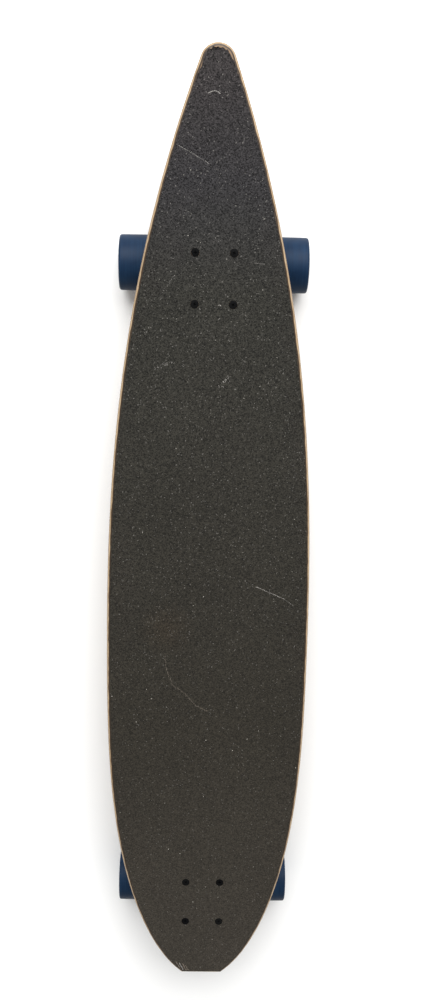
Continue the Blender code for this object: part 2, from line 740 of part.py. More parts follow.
    # hanger: ring, neck, cross bar and pivot nose in one casting, turning about the ring's middle
    ring_mesh = rod("hanger", RING_RADIUS, -RING_THICKNESS / 2, RING_THICKNESS / 2, 20)
    hanger = put(end + "_hanger", ring_mesh, cast, base, ring, pin)
    neck = helper(end + "_neck", neck_mesh(end + "_neck"), base, ring, pin)
    bar = turned_helper(end + "_cross_bar", bar_profile(), SMALL_SIDES, axle_place, across, False)
    nose = turned_helper(end + "_pivot_nose", nose_profile(), SMALL_SIDES, ring, pivot, False)
    for joined in (neck, bar, nose):
        boolean(hanger, joined, "UNION")
    seat = BUSHING_RADIUS + RING_SEAT_CLEARANCE
    hole = KINGPIN_RADIUS + RING_HOLE_CLEARANCE
    reach = AXLE_BACK
    seat_profile = [
        (0, reach),
        (seat, reach),
        (seat, RING_FLOOR),
        (hole, RING_FLOOR),
        (hole, -RING_FLOOR),
        (seat, -RING_FLOOR),
        (seat, -reach),
        (0, -reach),
    ]
    seats = turned_helper(end + "_bushing_seats", seat_profile, 20, ring, pin, False)
    axle_hole = bore(AXLE_RADIUS, DRILL_SIDES)
    axle_mesh = rod("axle_drill", axle_hole, -2 * HANGER_WIDTH, 2 * HANGER_WIDTH, DRILL_SIDES)
    axle_drill = helper(end + "_axle_drill", axle_mesh, base, axle_place, across)
    for cut in (seats, axle_drill):
        boolean(hanger, cut, "DIFFERENCE")

    axle_mesh = rod("axle", AXLE_RADIUS, -AXLE_TIP, AXLE_TIP, DRILL_SIDES)
    axle = put(end + "_axle", axle_mesh, steel, base, axle_place, across)
    edge = axle.modifiers.new("edge", "BEVEL")
    edge.width = AXLE_END / 2
    edge.segments = 1
    edge.limit_method = "ANGLE"
    edge.angle_limit = math.radians(60)

    for row, sign_x, x, along in bolt_places:
        side = "right" if sign_x * math.cos(turned) > 0 else "left"
        name = f"{end}_deck_bolt_{row}_{side}"
        profile = [
            (0, HEAD_TOP),
            (BOLT_HEAD_RADIUS, HEAD_TOP),
            (BOLT_HEAD_RADIUS, CONE_TOP),
            (BOLT_RADIUS, CONE_BOTTOM),
            (BOLT_RADIUS, BOLT_BOTTOM),
            (0, BOLT_BOTTOM),
        ]
        turned_part(name, profile, DRILL_SIDES, black_steel, (x, along, 0), (0, 0, 0), False)
        name = f"{end}_lock_nut_{row}_{side}"
        mesh = hexagon(name, LOCK_NUT_FLATS, LOCK_NUT_BOTTOM, LOCK_NUT_TOP)
        boolean(put(name, mesh, steel, base, (x, along, 0)), drill, "DIFFERENCE")

    for sign_x in (1, -1):
        side = "right" if sign_x * math.cos(turned) > 0 else "left"
        outwards = (0, sign_x * math.pi / 2, 0)
        hub = (sign_x * WHEEL_MIDDLE, AXLE_OUTSET, -TRUCK_HEIGHT)
        name = f"{end}_{side}_wheel"
        turned_part(name, wheel_profile(), WHEEL_SIDES, urethane, hub, outwards)

        inner_place = (sign_x * (INNER_BEARING + BEARING_WIDTH), AXLE_OUTSET, -TRUCK_HEIGHT)
        inwards = (0, -sign_x * math.pi / 2, 0)
        name = f"{end}_{side}_inner_bearing"
        turned_part(name, bearing_profile(), BEARING_SIDES, bearing_steel, inner_place, inwards)
        outer_place = (sign_x * OUTER_BEARING, AXLE_OUTSET, -TRUCK_HEIGHT)
        name = f"{end}_{side}_outer_bearing"
        turned_part(name, bearing_profile(), BEARING_SIDES, bearing_steel, outer_place, outwards)

        tube = bore(AXLE_RADIUS, DRILL_SIDES)
        profile = [
            (tube + SPACER_WALL, SPACER_LENGTH),
            (tube + SPACER_WALL, 0),
            (tube, 0),
            (tube, SPACER_LENGTH),
        ]
        place = (sign_x * SPACER_START, AXLE_OUTSET, -TRUCK_HEIGHT)
        turned_part(f"{end}_{side}_spacer", profile, DRILL_SIDES, steel, place, outwards)

        place = (sign_x * NUT_START, AXLE_OUTSET, -TRUCK_HEIGHT)
        name = f"{end}_{side}_axle_nut"
        mesh = rod(name, SPEED_WASHER_RADIUS, 0, SPEED_WASHER * 2, SMALL_SIDES)
        axle_nut = put(name, mesh, steel, base, place, outwards)
        mesh = hexagon("nut_body", AXLE_NUT_FLATS, SPEED_WASHER, SPEED_WASHER + AXLE_NUT_HEIGHT)
        boolean(axle_nut, helper(name + "_body", mesh, base, place, outwards), "UNION")
        boolean(axle_nut, axle_drill, "DIFFERENCE")


for end, y, turned in trucks:
    build_truck(end, y, turned)

for obj in parts.objects:
    if obj.type == "MESH":
        smooth(obj.data)

bpy.context.view_layer.update()
print("pieces:", sum(1 for obj in parts.objects if obj.type == "MESH"))
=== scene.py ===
import math
import bmesh
import bpy
from mathutils import Matrix, Vector, noise


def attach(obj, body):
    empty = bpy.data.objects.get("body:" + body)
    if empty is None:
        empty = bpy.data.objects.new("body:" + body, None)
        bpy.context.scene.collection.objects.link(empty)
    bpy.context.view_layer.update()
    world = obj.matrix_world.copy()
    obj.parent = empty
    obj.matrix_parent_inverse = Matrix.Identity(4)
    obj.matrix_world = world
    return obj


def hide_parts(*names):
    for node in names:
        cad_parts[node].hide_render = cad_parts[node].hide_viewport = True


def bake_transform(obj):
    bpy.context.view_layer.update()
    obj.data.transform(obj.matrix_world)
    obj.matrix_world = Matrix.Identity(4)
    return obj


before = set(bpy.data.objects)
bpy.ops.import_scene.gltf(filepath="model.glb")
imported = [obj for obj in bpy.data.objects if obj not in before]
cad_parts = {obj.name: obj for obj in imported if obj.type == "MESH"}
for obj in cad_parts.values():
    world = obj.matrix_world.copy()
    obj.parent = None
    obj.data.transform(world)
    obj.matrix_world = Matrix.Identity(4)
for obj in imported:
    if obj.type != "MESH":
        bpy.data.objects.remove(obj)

# Pintail longboard skateboard in metres: tail towards +Y, wheels standing on z = 0.
scene = bpy.context.scene
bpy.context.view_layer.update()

# camera, floor and light

shot = {
    "place": (-0.01442, 0.35884, 1.30219),
    "tilt": (0.24146, 0.01625, -0.01634),  # about X, then Y, then Z
    "lens": 39.6,  # mm, on a 36 mm long side
    "floorSize": 14,
    "floorColour": "#f6f6f5",
    "floorCloud": 1 / 1.5,
    "worldStrength": 0.5,
    "keyPower": 390,
    "keyPlace": (0.2, 3.2, 3.4),
    "keyTarget": (0, 0.1, 0.05),
    "keySize": (4.6, 3.4),
}


def colour(code):
    # sRGB hex to linear
    channels = []
    for start in (1, 3, 5):
        value = int(code[start : start + 2], 16) / 255
        channels.append(value / 12.92 if value <= 0.04045 else ((value + 0.055) / 1.055) ** 2.4)
    return (*channels, 1)


def linked(name, data):
    obj = bpy.data.objects.new(name, data)
    scene.collection.objects.link(obj)
    return obj


def addNode(tree, kind, inputs=None, **settings):
    made = tree.nodes.new(kind)
    for name, value in settings.items():
        setattr(made, name, value)
    for key, value in (inputs or {}).items():
        if isinstance(value, bpy.types.NodeSocket):
            tree.links.new(value, made.inputs[key])
        else:
            made.inputs[key].default_value = value
    return made


def maths(tree, operation, *values):
    return addNode(tree, "ShaderNodeMath", dict(enumerate(values)), operation=operation).outputs[0]


def ranged(tree, value, start=(0, 1), end=(0, 1), clamp=True):
    # the value carried over from the range start to the range end
    inputs = {"Value": value, "From Min": start[0], "From Max": start[1], "To Min": end[0], "To Max": end[1]}
    return addNode(tree, "ShaderNodeMapRange", inputs, clamp=clamp).outputs[0]


def mixed(tree, share, first, second):
    return addNode(tree, "ShaderNodeMix", {0: share, 6: first, 7: second}, data_type="RGBA").outputs[2]


def speckle(tree, place, size, detail, distortion=0):
    inputs = {"Vector": place, "Scale": 1 / size, "Detail": detail, "Distortion": distortion}
    return addNode(tree, "ShaderNodeTexNoise", inputs).outputs["Fac"]


def newMaterial(name, base, roughness, metallic=0.0):
    material = bpy.data.materials.new(name)
    material.use_nodes = True
    tree = material.node_tree
    shader = tree.nodes["Principled BSDF"]
    shader.inputs["Base Color"].default_value = colour(base)
    shader.inputs["Roughness"].default_value = roughness
    shader.inputs["Metallic"].default_value = metallic
    place = addNode(tree, "ShaderNodeTexCoord").outputs["Object"]
    return material, tree, shader, place


def setStage(shot):
    data = bpy.data.cameras.new("camera")
    data.lens = shot["lens"]
    camera = linked("camera", data)
    turn = Matrix.Identity(3)
    for angle, axis in zip(shot["tilt"], "XYZ"):
        turn = Matrix.Rotation(angle, 3, axis) @ turn
    camera.matrix_world = Matrix.Translation(shot["place"]) @ turn.transposed().to_4x4()
    scene.camera = camera

    # painted floor: matt white with a very slight unevenness
    material, tree, shader, place = newMaterial("mattFloorPaint", shot["floorColour"], 0.9)
    cloud = speckle(tree, place, shot["floorCloud"], 2)
    tree.links.new(ranged(tree, cloud, (0, 1), (0.85, 0.95)), shader.inputs["Roughness"])
    half = shot["floorSize"] / 2
    mesh = bpy.data.meshes.new("floor")
    corners = [(-half, -half, 0), (half, -half, 0), (half, half, 0), (-half, half, 0)]
    mesh.from_pydata(corners, [], [(0, 1, 2, 3)])
    mesh.materials.append(material)
    floor = linked("floor", mesh)

    world = bpy.data.worlds.new("studio")
    world.use_nodes = True
    background = world.node_tree.nodes["Background"]
    background.inputs["Color"].default_value = (1, 1, 1, 1)
    background.inputs["Strength"].default_value = shot["worldStrength"]
    scene.world = world
    scene.view_settings.view_transform = "Standard"
    key = bpy.data.lights.new("keyLight", "AREA")
    key.energy = shot["keyPower"]
    key.shape = "RECTANGLE"
    key.size, key.size_y = shot["keySize"]
    light = linked("keyLight", key)
    light.location = shot["keyPlace"]
    away = Vector(shot["keyPlace"]) - Vector(shot["keyTarget"])
    light.rotation_euler = away.to_track_quat("Z", "Y").to_euler()


setStage(shot)
print("stage: camera, floor and lights")

# finishes

gritLook = {
    # the tail end is lighter: painted light, as if it lay nearer the lamp
    "tail": "#2c2929",
    "upper": "#272627",  # clean grit
    "middle": "#272622",
    "lower": "#28251f",
    "nose": "#332f29",  # dusty from shoes
    "ends": (-0.52, 0.52),  # y at nose and tail
    "stops": {"lower": 0.3, "middle": 0.78, "upper": 0.89},
    "stain": "#2f281f",  # brown, where mud has dried
    "stainPlace": (-0.048, -0.088, 0.1105),
    "stainReach": 0.034,
    "stainShare": 0.6,
    "dark": 0.1,  # darkest grain, as a share of the paper's colour
    "light": 1.95,  # lightest grain
    "fleck": "#77746f",  # grains that catch the light
    "fleckShare": 0.02,
    "grain": 0.001,  # real grit is 0.3 mm; drawn coarser so that it shows at this distance
    "cloud": 0.09,
    "bump": 0.00035,
}
mapleLook = {
    "face": "#b49d7f",
    "streak": "#9a8160",
    "crossPly": "#8c7150",
    "glue": "#5a4330",
    "tapeEdgeShade": "#2b1d13",  # painted shade: a dark line on the wood along the tape's edge, where tape and deck meet
    "plies": 7,
    "grainWidth": 0.0032,
    "grainLength": 0.11,
    "blot": 0.014,
    "blotReach": 0.002,
}


def wire(tree, shader, base, rough, strength, depth, height):
    # colour, roughness and relief
    bump = addNode(tree, "ShaderNodeBump", {"Strength": strength, "Distance": depth, "Height": height})
    for name, source in (("Base Color", base), ("Roughness", rough), ("Normal", bump.outputs[0])):
        tree.links.new(source, shader.inputs[name])


def makeGrit(look):
    # silicon carbide grit glued on paper: dark, matt, each grain its own grey, a few glinting; lighter and more
    # speckled towards the tail end, which is painted light
    material, tree, shader, place = newMaterial("siliconCarbideGrit", look["tail"], 0.93)
    grains = addNode(tree, "ShaderNodeTexVoronoi", {"Vector": place, "Scale": 1 / look["grain"]})
    shade = addNode(tree, "ShaderNodeSeparateColor", {"Color": grains.outputs["Color"]}).outputs
    along = addNode(tree, "ShaderNodeSeparateXYZ", {"Vector": place}).outputs["Y"]
    # the paper's colour runs from nose to tail: lighter at the tail is painted light, browner at the nose is dust
    noseToTail = ranged(tree, along, look["ends"])
    paper = addNode(tree, "ShaderNodeValToRGB", {"Fac": noseToTail})
    stops = paper.color_ramp.elements
    stops[0].color, stops[1].color = colour(look["nose"]), colour(look["tail"])
    for part, share in look["stops"].items():
        stops.new(share).color = colour(look[part])
    away = addNode(tree, "ShaderNodeVectorMath", {0: place, 1: look["stainPlace"]}, operation="DISTANCE")
    soaked = ranged(tree, away.outputs["Value"], (0, look["stainReach"]), (look["stainShare"], 0))
    stained = mixed(tree, soaked, paper.outputs["Color"], colour(look["stain"]))
    # grains differ less and glint less towards the nose: partly dust filling them, partly painted light, the
    # painted sparkle strongest at the tail end
    spread = ranged(tree, noseToTail, (0, 1), (0.45, 1))
    grey = ranged(tree, shade["Red"], (0, 1), (look["dark"] - 1, look["light"] - 1))
    patch = ranged(tree, speckle(tree, place, look["cloud"], 5), (0.3, 0.7), (0.93, 1.07))
    level = maths(tree, "MULTIPLY", maths(tree, "MULTIPLY_ADD", grey, spread, 1), patch)
    shaded = addNode(tree, "ShaderNodeVectorMath", {0: stained, "Scale": level}, operation="SCALE")
    glint = ranged(tree, shade["Green"], (1 - look["fleckShare"], 1), (0, 0.75))
    glints = maths(tree, "MULTIPLY", glint, spread)
    top = mixed(tree, glints, shaded.outputs[0], colour(look["fleck"]))
    rough = ranged(tree, shade["Blue"], (0, 1), (0.7, 1))
    lumps = speckle(tree, place, look["grain"] * 0.8, 2)
    wire(tree, shader, top, rough, 0.7, look["bump"], lumps)
    shader.inputs["Specular IOR Level"].default_value = 0.2
    return material


def makeMaple(look, low, thickness):
    # maple plies under clear lacquer: faces streaked along the board, cross plies darker where the rail cuts them
    material, tree, shader, place = newMaterial("lacqueredMaplePly", look["face"], 0.38)
    height = addNode(tree, "ShaderNodeSeparateXYZ", {"Vector": place}).outputs["Z"]
    ply = ranged(tree, height, (low, low + thickness), (0, look["plies"]), False)
    isCross = ranged(tree, maths(tree, "MODULO", ply, 2), (0.95, 1.05))
    glue = ranged(tree, maths(tree, "PINGPONG", ply, 0.5), (0.03, 0.1), (0.55, 0))
    fine = 1 / look["grainWidth"]
    stretched = {"Vector": place, "Scale": (fine, 1 / look["grainLength"], fine)}
    grain = speckle(tree, addNode(tree, "ShaderNodeMapping", stretched).outputs[0], 1, 6, 0.4)
    streak = ranged(tree, grain, (0.38, 0.72))
    face = mixed(tree, streak, colour(look["face"]), colour(look["streak"]))
    plies = mixed(tree, isCross, face, colour(look["crossPly"]))
    lines = mixed(tree, glue, plies, colour(look["glue"]))
    # rim is how far in from the board's edge a point of the mesh lies
    rim = addNode(tree, "ShaderNodeAttribute", attribute_name="rim").outputs["Fac"]
    # painted shade: the wood is darkened in a band along the tape's edge, where tape meets deck
    reach = maths(tree, "MULTIPLY_ADD", speckle(tree, place, look["blot"], 3), look["blotReach"], rim)
    near = ranged(tree, reach, (0.0026, 0.0032), (0, 0.95))
    # the painted shade stops short of wood that chips in the tape have laid bare
    shadeWithinReach = ranged(tree, reach, (0.0045, 0.0051), (1, 0))
    top = ranged(tree, height, (low + thickness * 0.6, low + thickness * 0.75))
    edgeShadeShare = maths(tree, "MULTIPLY", maths(tree, "MULTIPLY", near, shadeWithinReach), top)
    # the maple's colour with the painted shade laid on
    worn = mixed(tree, edgeShadeShare, lines, colour(look["tapeEdgeShade"]))
    wire(tree, shader, worn, ranged(tree, grain, (0, 1), (0.32, 0.5)), 0.12, 0.0003, grain)
    for name, value in (("Specular IOR Level", 0.25), ("Coat Weight", 0.12), ("Coat Roughness", 0.3)):
        shader.inputs[name].default_value = value
    return material


def makeUrethane(name, base, worn, rubbed, roughness):
    # cast urethane: satin, with fine rings round the tread where the road has rubbed it
    material, tree, shader, place = newMaterial(name, base, roughness)
    ringWidth, ringLength, cloud = 0.0011, 0.05, 0.018
    stretched = {"Vector": place, "Scale": (1 / ringWidth, 1 / ringLength, 1 / ringLength)}
    rings = speckle(tree, addNode(tree, "ShaderNodeMapping", stretched).outputs[0], 1, 3)
    both = maths(tree, "MULTIPLY", rings, speckle(tree, place, cloud, 4))
    share = ranged(tree, both, (0.16, 0.42), (0, rubbed))
    rough = ranged(tree, both, (0, 0.5), (roughness - 0.08, roughness + 0.14))
    wire(tree, shader, mixed(tree, share, colour(base), colour(worn)), rough, 0.15, 0.0002, both)
    shader.inputs["Specular IOR Level"].default_value = 0.14
    return material


def makeMetal(name, base, dull, grain, low, high, bump, metallic=1.0, specular=0.5):
    # patchily dulled; grain is the size of the surface marks
    material, tree, shader, place = newMaterial(name, base, low, metallic)
    patch = 0.02
    marks = speckle(tree, place, grain, 4)
    share = ranged(tree, speckle(tree, place, patch, 3), (0.4, 0.75))
    rough = ranged(tree, marks, (0.3, 0.7), (low, high))
    wire(tree, shader, mixed(tree, share, colour(base), colour(dull)), rough, 0.35, bump, marks)
    shader.inputs["Specular IOR Level"].default_value = specular
    return material


def makeMoulded(name, base, dusty, grain, roughness):
    # moulded rubber or plastic: matt, finely pebbled, dust in the hollows
    material, tree, shader, place = newMaterial(name, base, roughness)
    patch = 0.012
    pebble = speckle(tree, place, grain, 3)
    share = ranged(tree, speckle(tree, place, patch, 5), (0.5, 0.8), (0, 0.5))
    rough = ranged(tree, pebble, (0, 1), (roughness - 0.1, roughness + 0.1))
    wire(tree, shader, mixed(tree, share, colour(base), colour(dusty)), rough, 0.3, 0.0001, pebble)
    return material


# mesh helpers


def evaluated(obj):
    # the object's modifiers made real in a plain mesh; the object itself goes
    bpy.context.view_layer.update()
    mesh = bpy.data.meshes.new_from_object(obj.evaluated_get(bpy.context.evaluated_depsgraph_get()))
    bpy.data.objects.remove(obj)
    return mesh


def cut(mesh, others, operation="DIFFERENCE"):
    obj = linked("work", mesh)
    tools = []
    for other in others:
        tools.append(linked("tool", other))
        modifier = obj.modifiers.new("cut", "BOOLEAN")
        modifier.operation = operation
        modifier.solver = "MANIFOLD"
        modifier.object = tools[-1]
    result = evaluated(obj)
    for tool in tools:
        bpy.data.objects.remove(tool)
    return result


def finished(mesh, material):
    # one material all over
    mesh.materials.clear()
    if material:
        mesh.materials.append(material)
    mesh.polygons.foreach_set("material_index", [0] * len(mesh.polygons))
    return mesh


def meshOf(bm):
    mesh = bpy.data.meshes.new("shape")
    bm.to_mesh(mesh)
    bm.free()
    return mesh


def polyline(points):
    mesh = bpy.data.meshes.new("line")
    mesh.from_pydata(points, [(i, i + 1) for i in range(len(points) - 1)], [])
    return mesh


def moved(mesh, matrix):
    mesh.transform(matrix)
    return mesh


def joined(meshes):
    bm = bmesh.new()
    for mesh in meshes:
        bm.from_mesh(mesh)
    return finished(meshOf(bm), meshes[0].materials[0] if meshes[0].materials else None)


def tidy(mesh, angle=32):
    # doubles merged, faces outwards, smooth between sharp edges
    bm = bmesh.new()
    bm.from_mesh(mesh)
    bmesh.ops.remove_doubles(bm, verts=bm.verts, dist=0.000002)
    bmesh.ops.recalc_face_normals(bm, faces=bm.faces)
    bm.to_mesh(mesh)
    bm.free()
    mesh.shade_smooth()
    mesh.set_sharp_from_angle(angle=math.radians(angle))
    return mesh


def put(name, mesh, body, nodes=(), material=None):
    piece = linked(name, finished(mesh, material) if material else mesh)
    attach(piece, body)
    if nodes:
        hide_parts(*nodes)


def softCorners(points, closed=False, steps=3):
    # points are (radius, height, corner radius)
    soft = []
    count = len(points)
    for i, (r, z, corner) in enumerate(points):
        here = Vector((r, z))
        if not corner or (not closed and i in (0, count - 1)):
            soft.append((r, z))
            continue
        before = Vector(points[i - 1][:2]) - here
        after = Vector(points[(i + 1) % count][:2]) - here
        half = before.angle(after) / 2
        back = min(corner / math.tan(half), before.length * 0.49, after.length * 0.49)
        radius = back * math.tan(half)
        before.normalize()
        after.normalize()
        centre = here + (before + after).normalized() * radius / math.sin(half)
        first = here + before * back - centre
        last = here + after * back - centre
        start = math.atan2(first.y, first.x)
        sweep = math.remainder(math.atan2(last.y, last.x) - start, math.tau)
        for step in range(steps + 1):
            angle = start + sweep * step / steps
            soft.append((centre.x + radius * math.cos(angle), centre.y + radius * math.sin(angle)))
    return soft


def mirrored(points):
    # a profile's upper half, and the same downwards
    return points + [(r, -z, corner) for r, z, corner in reversed(points)]


def shaft(radius, low, high):
    return [(0, low), (radius, low), (radius, high), (0, high)]


def inset(outline, distance):
    inner = []
    count = len(outline)
    for i in range(count):
        before, here, after = (Vector(outline[(i + k) % count]) for k in (-1, 0, 1))
        first, second = (here - before).normalized(), (after - here).normalized()
        first, second = Vector((-first.y, first.x)), Vector((-second.y, second.x))
        middle = (first + second).normalized()
        inner.append(here + middle * distance / max(middle.dot(first), 0.5))
    return inner


def skin(bm, loops):
    for below, above in zip(loops, loops[1:]):
        for i in range(len(below)):
            j = (i + 1) % len(below)
            bm.faces.new((below[i], below[j], above[j], above[i]))


def slab(outline, low, high, edge, steps=6, support=0.0015):
    # a flat plate on that outline with rounded rails
    arc = [math.pi / 2 * step / steps for step in range(steps + 1)]
    rings = [(edge + support, low)]
    rings += [(edge * (1 - math.sin(a)), low + edge * (1 - math.cos(a))) for a in arc]
    rings += [(edge * (1 - math.cos(a)), high - edge * (1 - math.sin(a))) for a in arc]
    rings.append((edge + support, high))
    bm = bmesh.new()
    rim = bm.verts.layers.float.new("rim")
    loops = []
    for d, z in rings:
        loops.append([bm.verts.new((*p, z)) for p in inset(outline, d)])
        for vert in loops[-1]:
            vert[rim] = d
    skin(bm, loops)
    bm.faces.new(list(reversed(loops[0])))
    bm.faces.new(loops[-1])
    bmesh.ops.remove_doubles(bm, verts=bm.verts, dist=0.000001)
    return meshOf(bm)


def roundedRectangle(width, length, corner, steps=10):
    points = []
    for quarter in range(4):
        signX = 1 if quarter in (0, 3) else -1
        signY = 1 if quarter in (0, 1) else -1
        for step in range(steps + 1):
            angle = (quarter + step / steps) * math.pi / 2
            x = signX * (width / 2 - corner) + corner * math.cos(angle)
            y = signY * (length / 2 - corner) + corner * math.sin(angle)
            points.append((x, y))
    return points


def loft(sections, rungs=False):
    # closed skin over loops of equal count; with rungs, the ends are filled from side to side like a ladder
    bm = bmesh.new()
    loops = [[bm.verts.new(p) for p in section] for section in sections]
    skin(bm, loops)
    for loop in (loops[0], loops[-1]):
        if rungs:
            for i in range(len(loop) // 2):
                bm.faces.new(dict.fromkeys((loop[i], loop[i + 1], loop[-2 - i], loop[-1 - i])))
        else:
            bm.faces.new(loop)
    bmesh.ops.recalc_face_normals(bm, faces=bm.faces)
    return meshOf(bm)


mould = {"voxel": 0.0006, "passes": 12}


def casting(meshes):
    # the shapes run together with soft fillets, as out of a mould
    obj = linked("casting", joined(meshes))
    remesh = obj.modifiers.new("remesh", "REMESH")
    remesh.mode = "VOXEL"
    remesh.voxel_size = mould["voxel"]
    smooth = obj.modifiers.new("smooth", "SMOOTH")
    smooth.factor = 0.5
    smooth.iterations = mould["passes"]
    return evaluated(obj)


# node trees for what is turned, repeated or spread


def newTree(name, sockets):
    tree = bpy.data.node_groups.new(name, "GeometryNodeTree")
    tree.interface.new_socket("Geometry", in_out="INPUT", socket_type="NodeSocketGeometry")
    for label, kind in {**sockets, "Finish": "Material"}.items():
        tree.interface.new_socket(label, in_out="INPUT", socket_type="NodeSocket" + kind)
    tree.interface.new_socket("Geometry", in_out="OUTPUT", socket_type="NodeSocketGeometry")
    return tree, tree.nodes.new("NodeGroupInput").outputs


def endTree(tree, geometry, finish):
    real = addNode(tree, "GeometryNodeRealizeInstances", {"Geometry": geometry})
    dressed = addNode(tree, "GeometryNodeSetMaterial", {"Geometry": real.outputs[0], "Material": finish})
    addNode(tree, "NodeGroupOutput", {"Geometry": dressed.outputs[0]})
    return tree


def runTree(tree, mesh, values):
    obj = linked(tree.name, mesh)
    modifier = obj.modifiers.new(tree.name, "NODES")
    modifier.node_group = tree
    for socket in tree.interface.items_tree:
        if socket.in_out == "INPUT" and socket.name in values:
            modifier[socket.identifier] = values[socket.name]
    return finished(evaluated(obj), values["Finish"])


def randomVector(tree, low, high, seed):
    inputs = {0: low, 1: high, "Seed": seed}
    return addNode(tree, "FunctionNodeRandomValue", inputs, data_type="FLOAT_VECTOR").outputs[0]


def latheTree():
    # a profile of (radius, 0, height) points turned about Z
    tree, given = newTree("turnedOnLathe", {"Sides": "Int"})
    profile = given["Geometry"]
    count = addNode(tree, "GeometryNodeAttributeDomainSize", {"Geometry": profile}).outputs["Point Count"]
    columns = maths(tree, "ADD", given["Sides"], 1)
    grid = addNode(tree, "GeometryNodeMeshGrid", {"Vertices X": columns, "Vertices Y": count})
    index = addNode(tree, "GeometryNodeInputIndex").outputs[0]
    share = maths(tree, "DIVIDE", index, count)
    column = maths(tree, "FLOOR", maths(tree, "ADD", share, 0.0001))
    row = maths(tree, "SUBTRACT", index, maths(tree, "MULTIPLY", column, count))
    angle = maths(tree, "MULTIPLY", column, maths(tree, "DIVIDE", math.tau, given["Sides"]))
    position = addNode(tree, "GeometryNodeInputPosition").outputs[0]
    wanted = {"Geometry": profile, "Value": position, "Index": row}
    point = addNode(tree, "GeometryNodeSampleIndex", wanted, data_type="FLOAT_VECTOR")
    swing = {"Vector": point.outputs[0], "Angle": angle}
    swung = addNode(tree, "ShaderNodeVectorRotate", swing, rotation_type="Z_AXIS")
    shape = {"Geometry": grid.outputs["Mesh"], "Position": swung.outputs[0]}
    shaped = addNode(tree, "GeometryNodeSetPosition", shape)
    closed = addNode(tree, "GeometryNodeMergeByDistance", {"Geometry": shaped.outputs[0], "Distance": 0.000002})
    return endTree(tree, closed.outputs[0], given["Finish"])


def patternTree():
    # one piece at each hole of the two bolt patterns, each turned its own way
    sockets = {"Piece": "Object", "Across": "Float", "Along": "Float"}
    tree, given = newTree("boltPattern", {**sockets, "Front": "Vector", "Rear": "Vector", "Seed": "Int"})
    size = {"Size X": given["Across"], "Size Y": given["Along"], "Vertices X": 2, "Vertices Y": 2}
    holes = addNode(tree, "GeometryNodeMeshGrid", size).outputs["Mesh"]
    both = addNode(tree, "GeometryNodeJoinGeometry")
    for end in ("Front", "Rear"):
        shifted = addNode(tree, "GeometryNodeTransform", {"Geometry": holes, "Translation": given[end]})
        tree.links.new(shifted.outputs[0], both.inputs[0])
    piece = addNode(tree, "GeometryNodeObjectInfo", {"Object": given["Piece"], "As Instance": True})
    turn = randomVector(tree, (0, 0, 0), (0, 0, math.tau), given["Seed"])
    inputs = {"Points": both.outputs[0], "Instance": piece.outputs["Geometry"], "Rotation": turn}
    placed = addNode(tree, "GeometryNodeInstanceOnPoints", inputs)
    return endTree(tree, placed.outputs[0], given["Finish"])


def threadTree():
    # a screw thread's ridge wound up Z from the ground plane
    sockets = {"Radius": "Float", "Pitch": "Float", "Length": "Float", "Depth": "Float"}
    tree, given = newTree("threadRidge", sockets)
    turns = maths(tree, "DIVIDE", given["Length"], given["Pitch"])
    radii = {"Start Radius": given["Radius"], "End Radius": given["Radius"]}
    spiral = {"Resolution": 28, "Rotations": turns, "Height": given["Length"], **radii}
    line = addNode(tree, "GeometryNodeCurveSpiral", spiral)
    ridge = addNode(tree, "GeometryNodeCurvePrimitiveCircle", {"Resolution": 4, "Radius": given["Depth"]})
    swept = {"Curve": line.outputs[0], "Profile Curve": ridge.outputs[0], "Fill Caps": True}
    wound = addNode(tree, "GeometryNodeCurveToMesh", swept)
    return endTree(tree, wound.outputs[0], given["Finish"])


grainSockets = {"Smallest": "Float", "Largest": "Float", "Seed": "Int"}


def strewn(tree, given, points, corners, depth, tilt):
    # a sharp grain on every point, of its own size and turn
    cone = {"Vertices": corners, "Radius Bottom": 1.0, "Depth": depth}
    grain = addNode(tree, "GeometryNodeMeshCone", cone, fill_type="NGON")
    limits = {2: given["Smallest"], 3: given["Largest"], "Seed": given["Seed"]}
    size = addNode(tree, "FunctionNodeRandomValue", limits)
    turn = randomVector(tree, (-tilt, -tilt, 0), (tilt, tilt, math.tau), given["Seed"])
    inputs = {"Points": points, "Instance": grain.outputs["Mesh"], "Rotation": turn, "Scale": size.outputs[1]}
    placed = addNode(tree, "GeometryNodeInstanceOnPoints", inputs)
    return endTree(tree, placed.outputs[0], given["Finish"])


def gritTree():
    # loose grains spread over the tape; the nose share is how many lie there beside the tail's
    tree, given = newTree("looseGrit", {"Density": "Float", "NoseShare": "Float", **grainSockets})
    position = addNode(tree, "GeometryNodeInputPosition").outputs[0]
    along = addNode(tree, "ShaderNodeSeparateXYZ", {0: position}).outputs["Y"]
    share = ranged(tree, along, (-0.15, 0.25), (given["NoseShare"], 1))
    density = maths(tree, "MULTIPLY", share, given["Density"])
    inputs = {"Mesh": given["Geometry"], "Density": density, "Seed": given["Seed"]}
    spots = addNode(tree, "GeometryNodeDistributePointsOnFaces", inputs)
    return strewn(tree, given, spots.outputs["Points"], 4, 0.4, 0.3)


def scuffTree():
    # rubbed grains strewn along a scratch
    tree, given = newTree("scuffTrail", {"Step": "Float", "Spread": "Float", **grainSockets})
    line = addNode(tree, "GeometryNodeMeshToCurve", {"Mesh": given["Geometry"]})
    inputs = {"Curve": line.outputs[0], "Length": given["Step"]}
    spots = addNode(tree, "GeometryNodeResampleCurve", inputs, mode="LENGTH")
    aside = randomVector(tree, (-1, -1, 0), (1, 1, 0), given["Seed"])
    shift = addNode(tree, "ShaderNodeVectorMath", {0: aside, "Scale": given["Spread"]}, operation="SCALE")
    inputs = {"Geometry": spots.outputs[0], "Offset": shift.outputs[0]}
    points = addNode(tree, "GeometryNodeSetPosition", inputs)
    return strewn(tree, given, points.outputs[0], 5, 0.2, 0.1)


lathe, pattern, thread = latheTree(), patternTree(), threadTree()
looseGrit, scuffTrail = gritTree(), scuffTree()


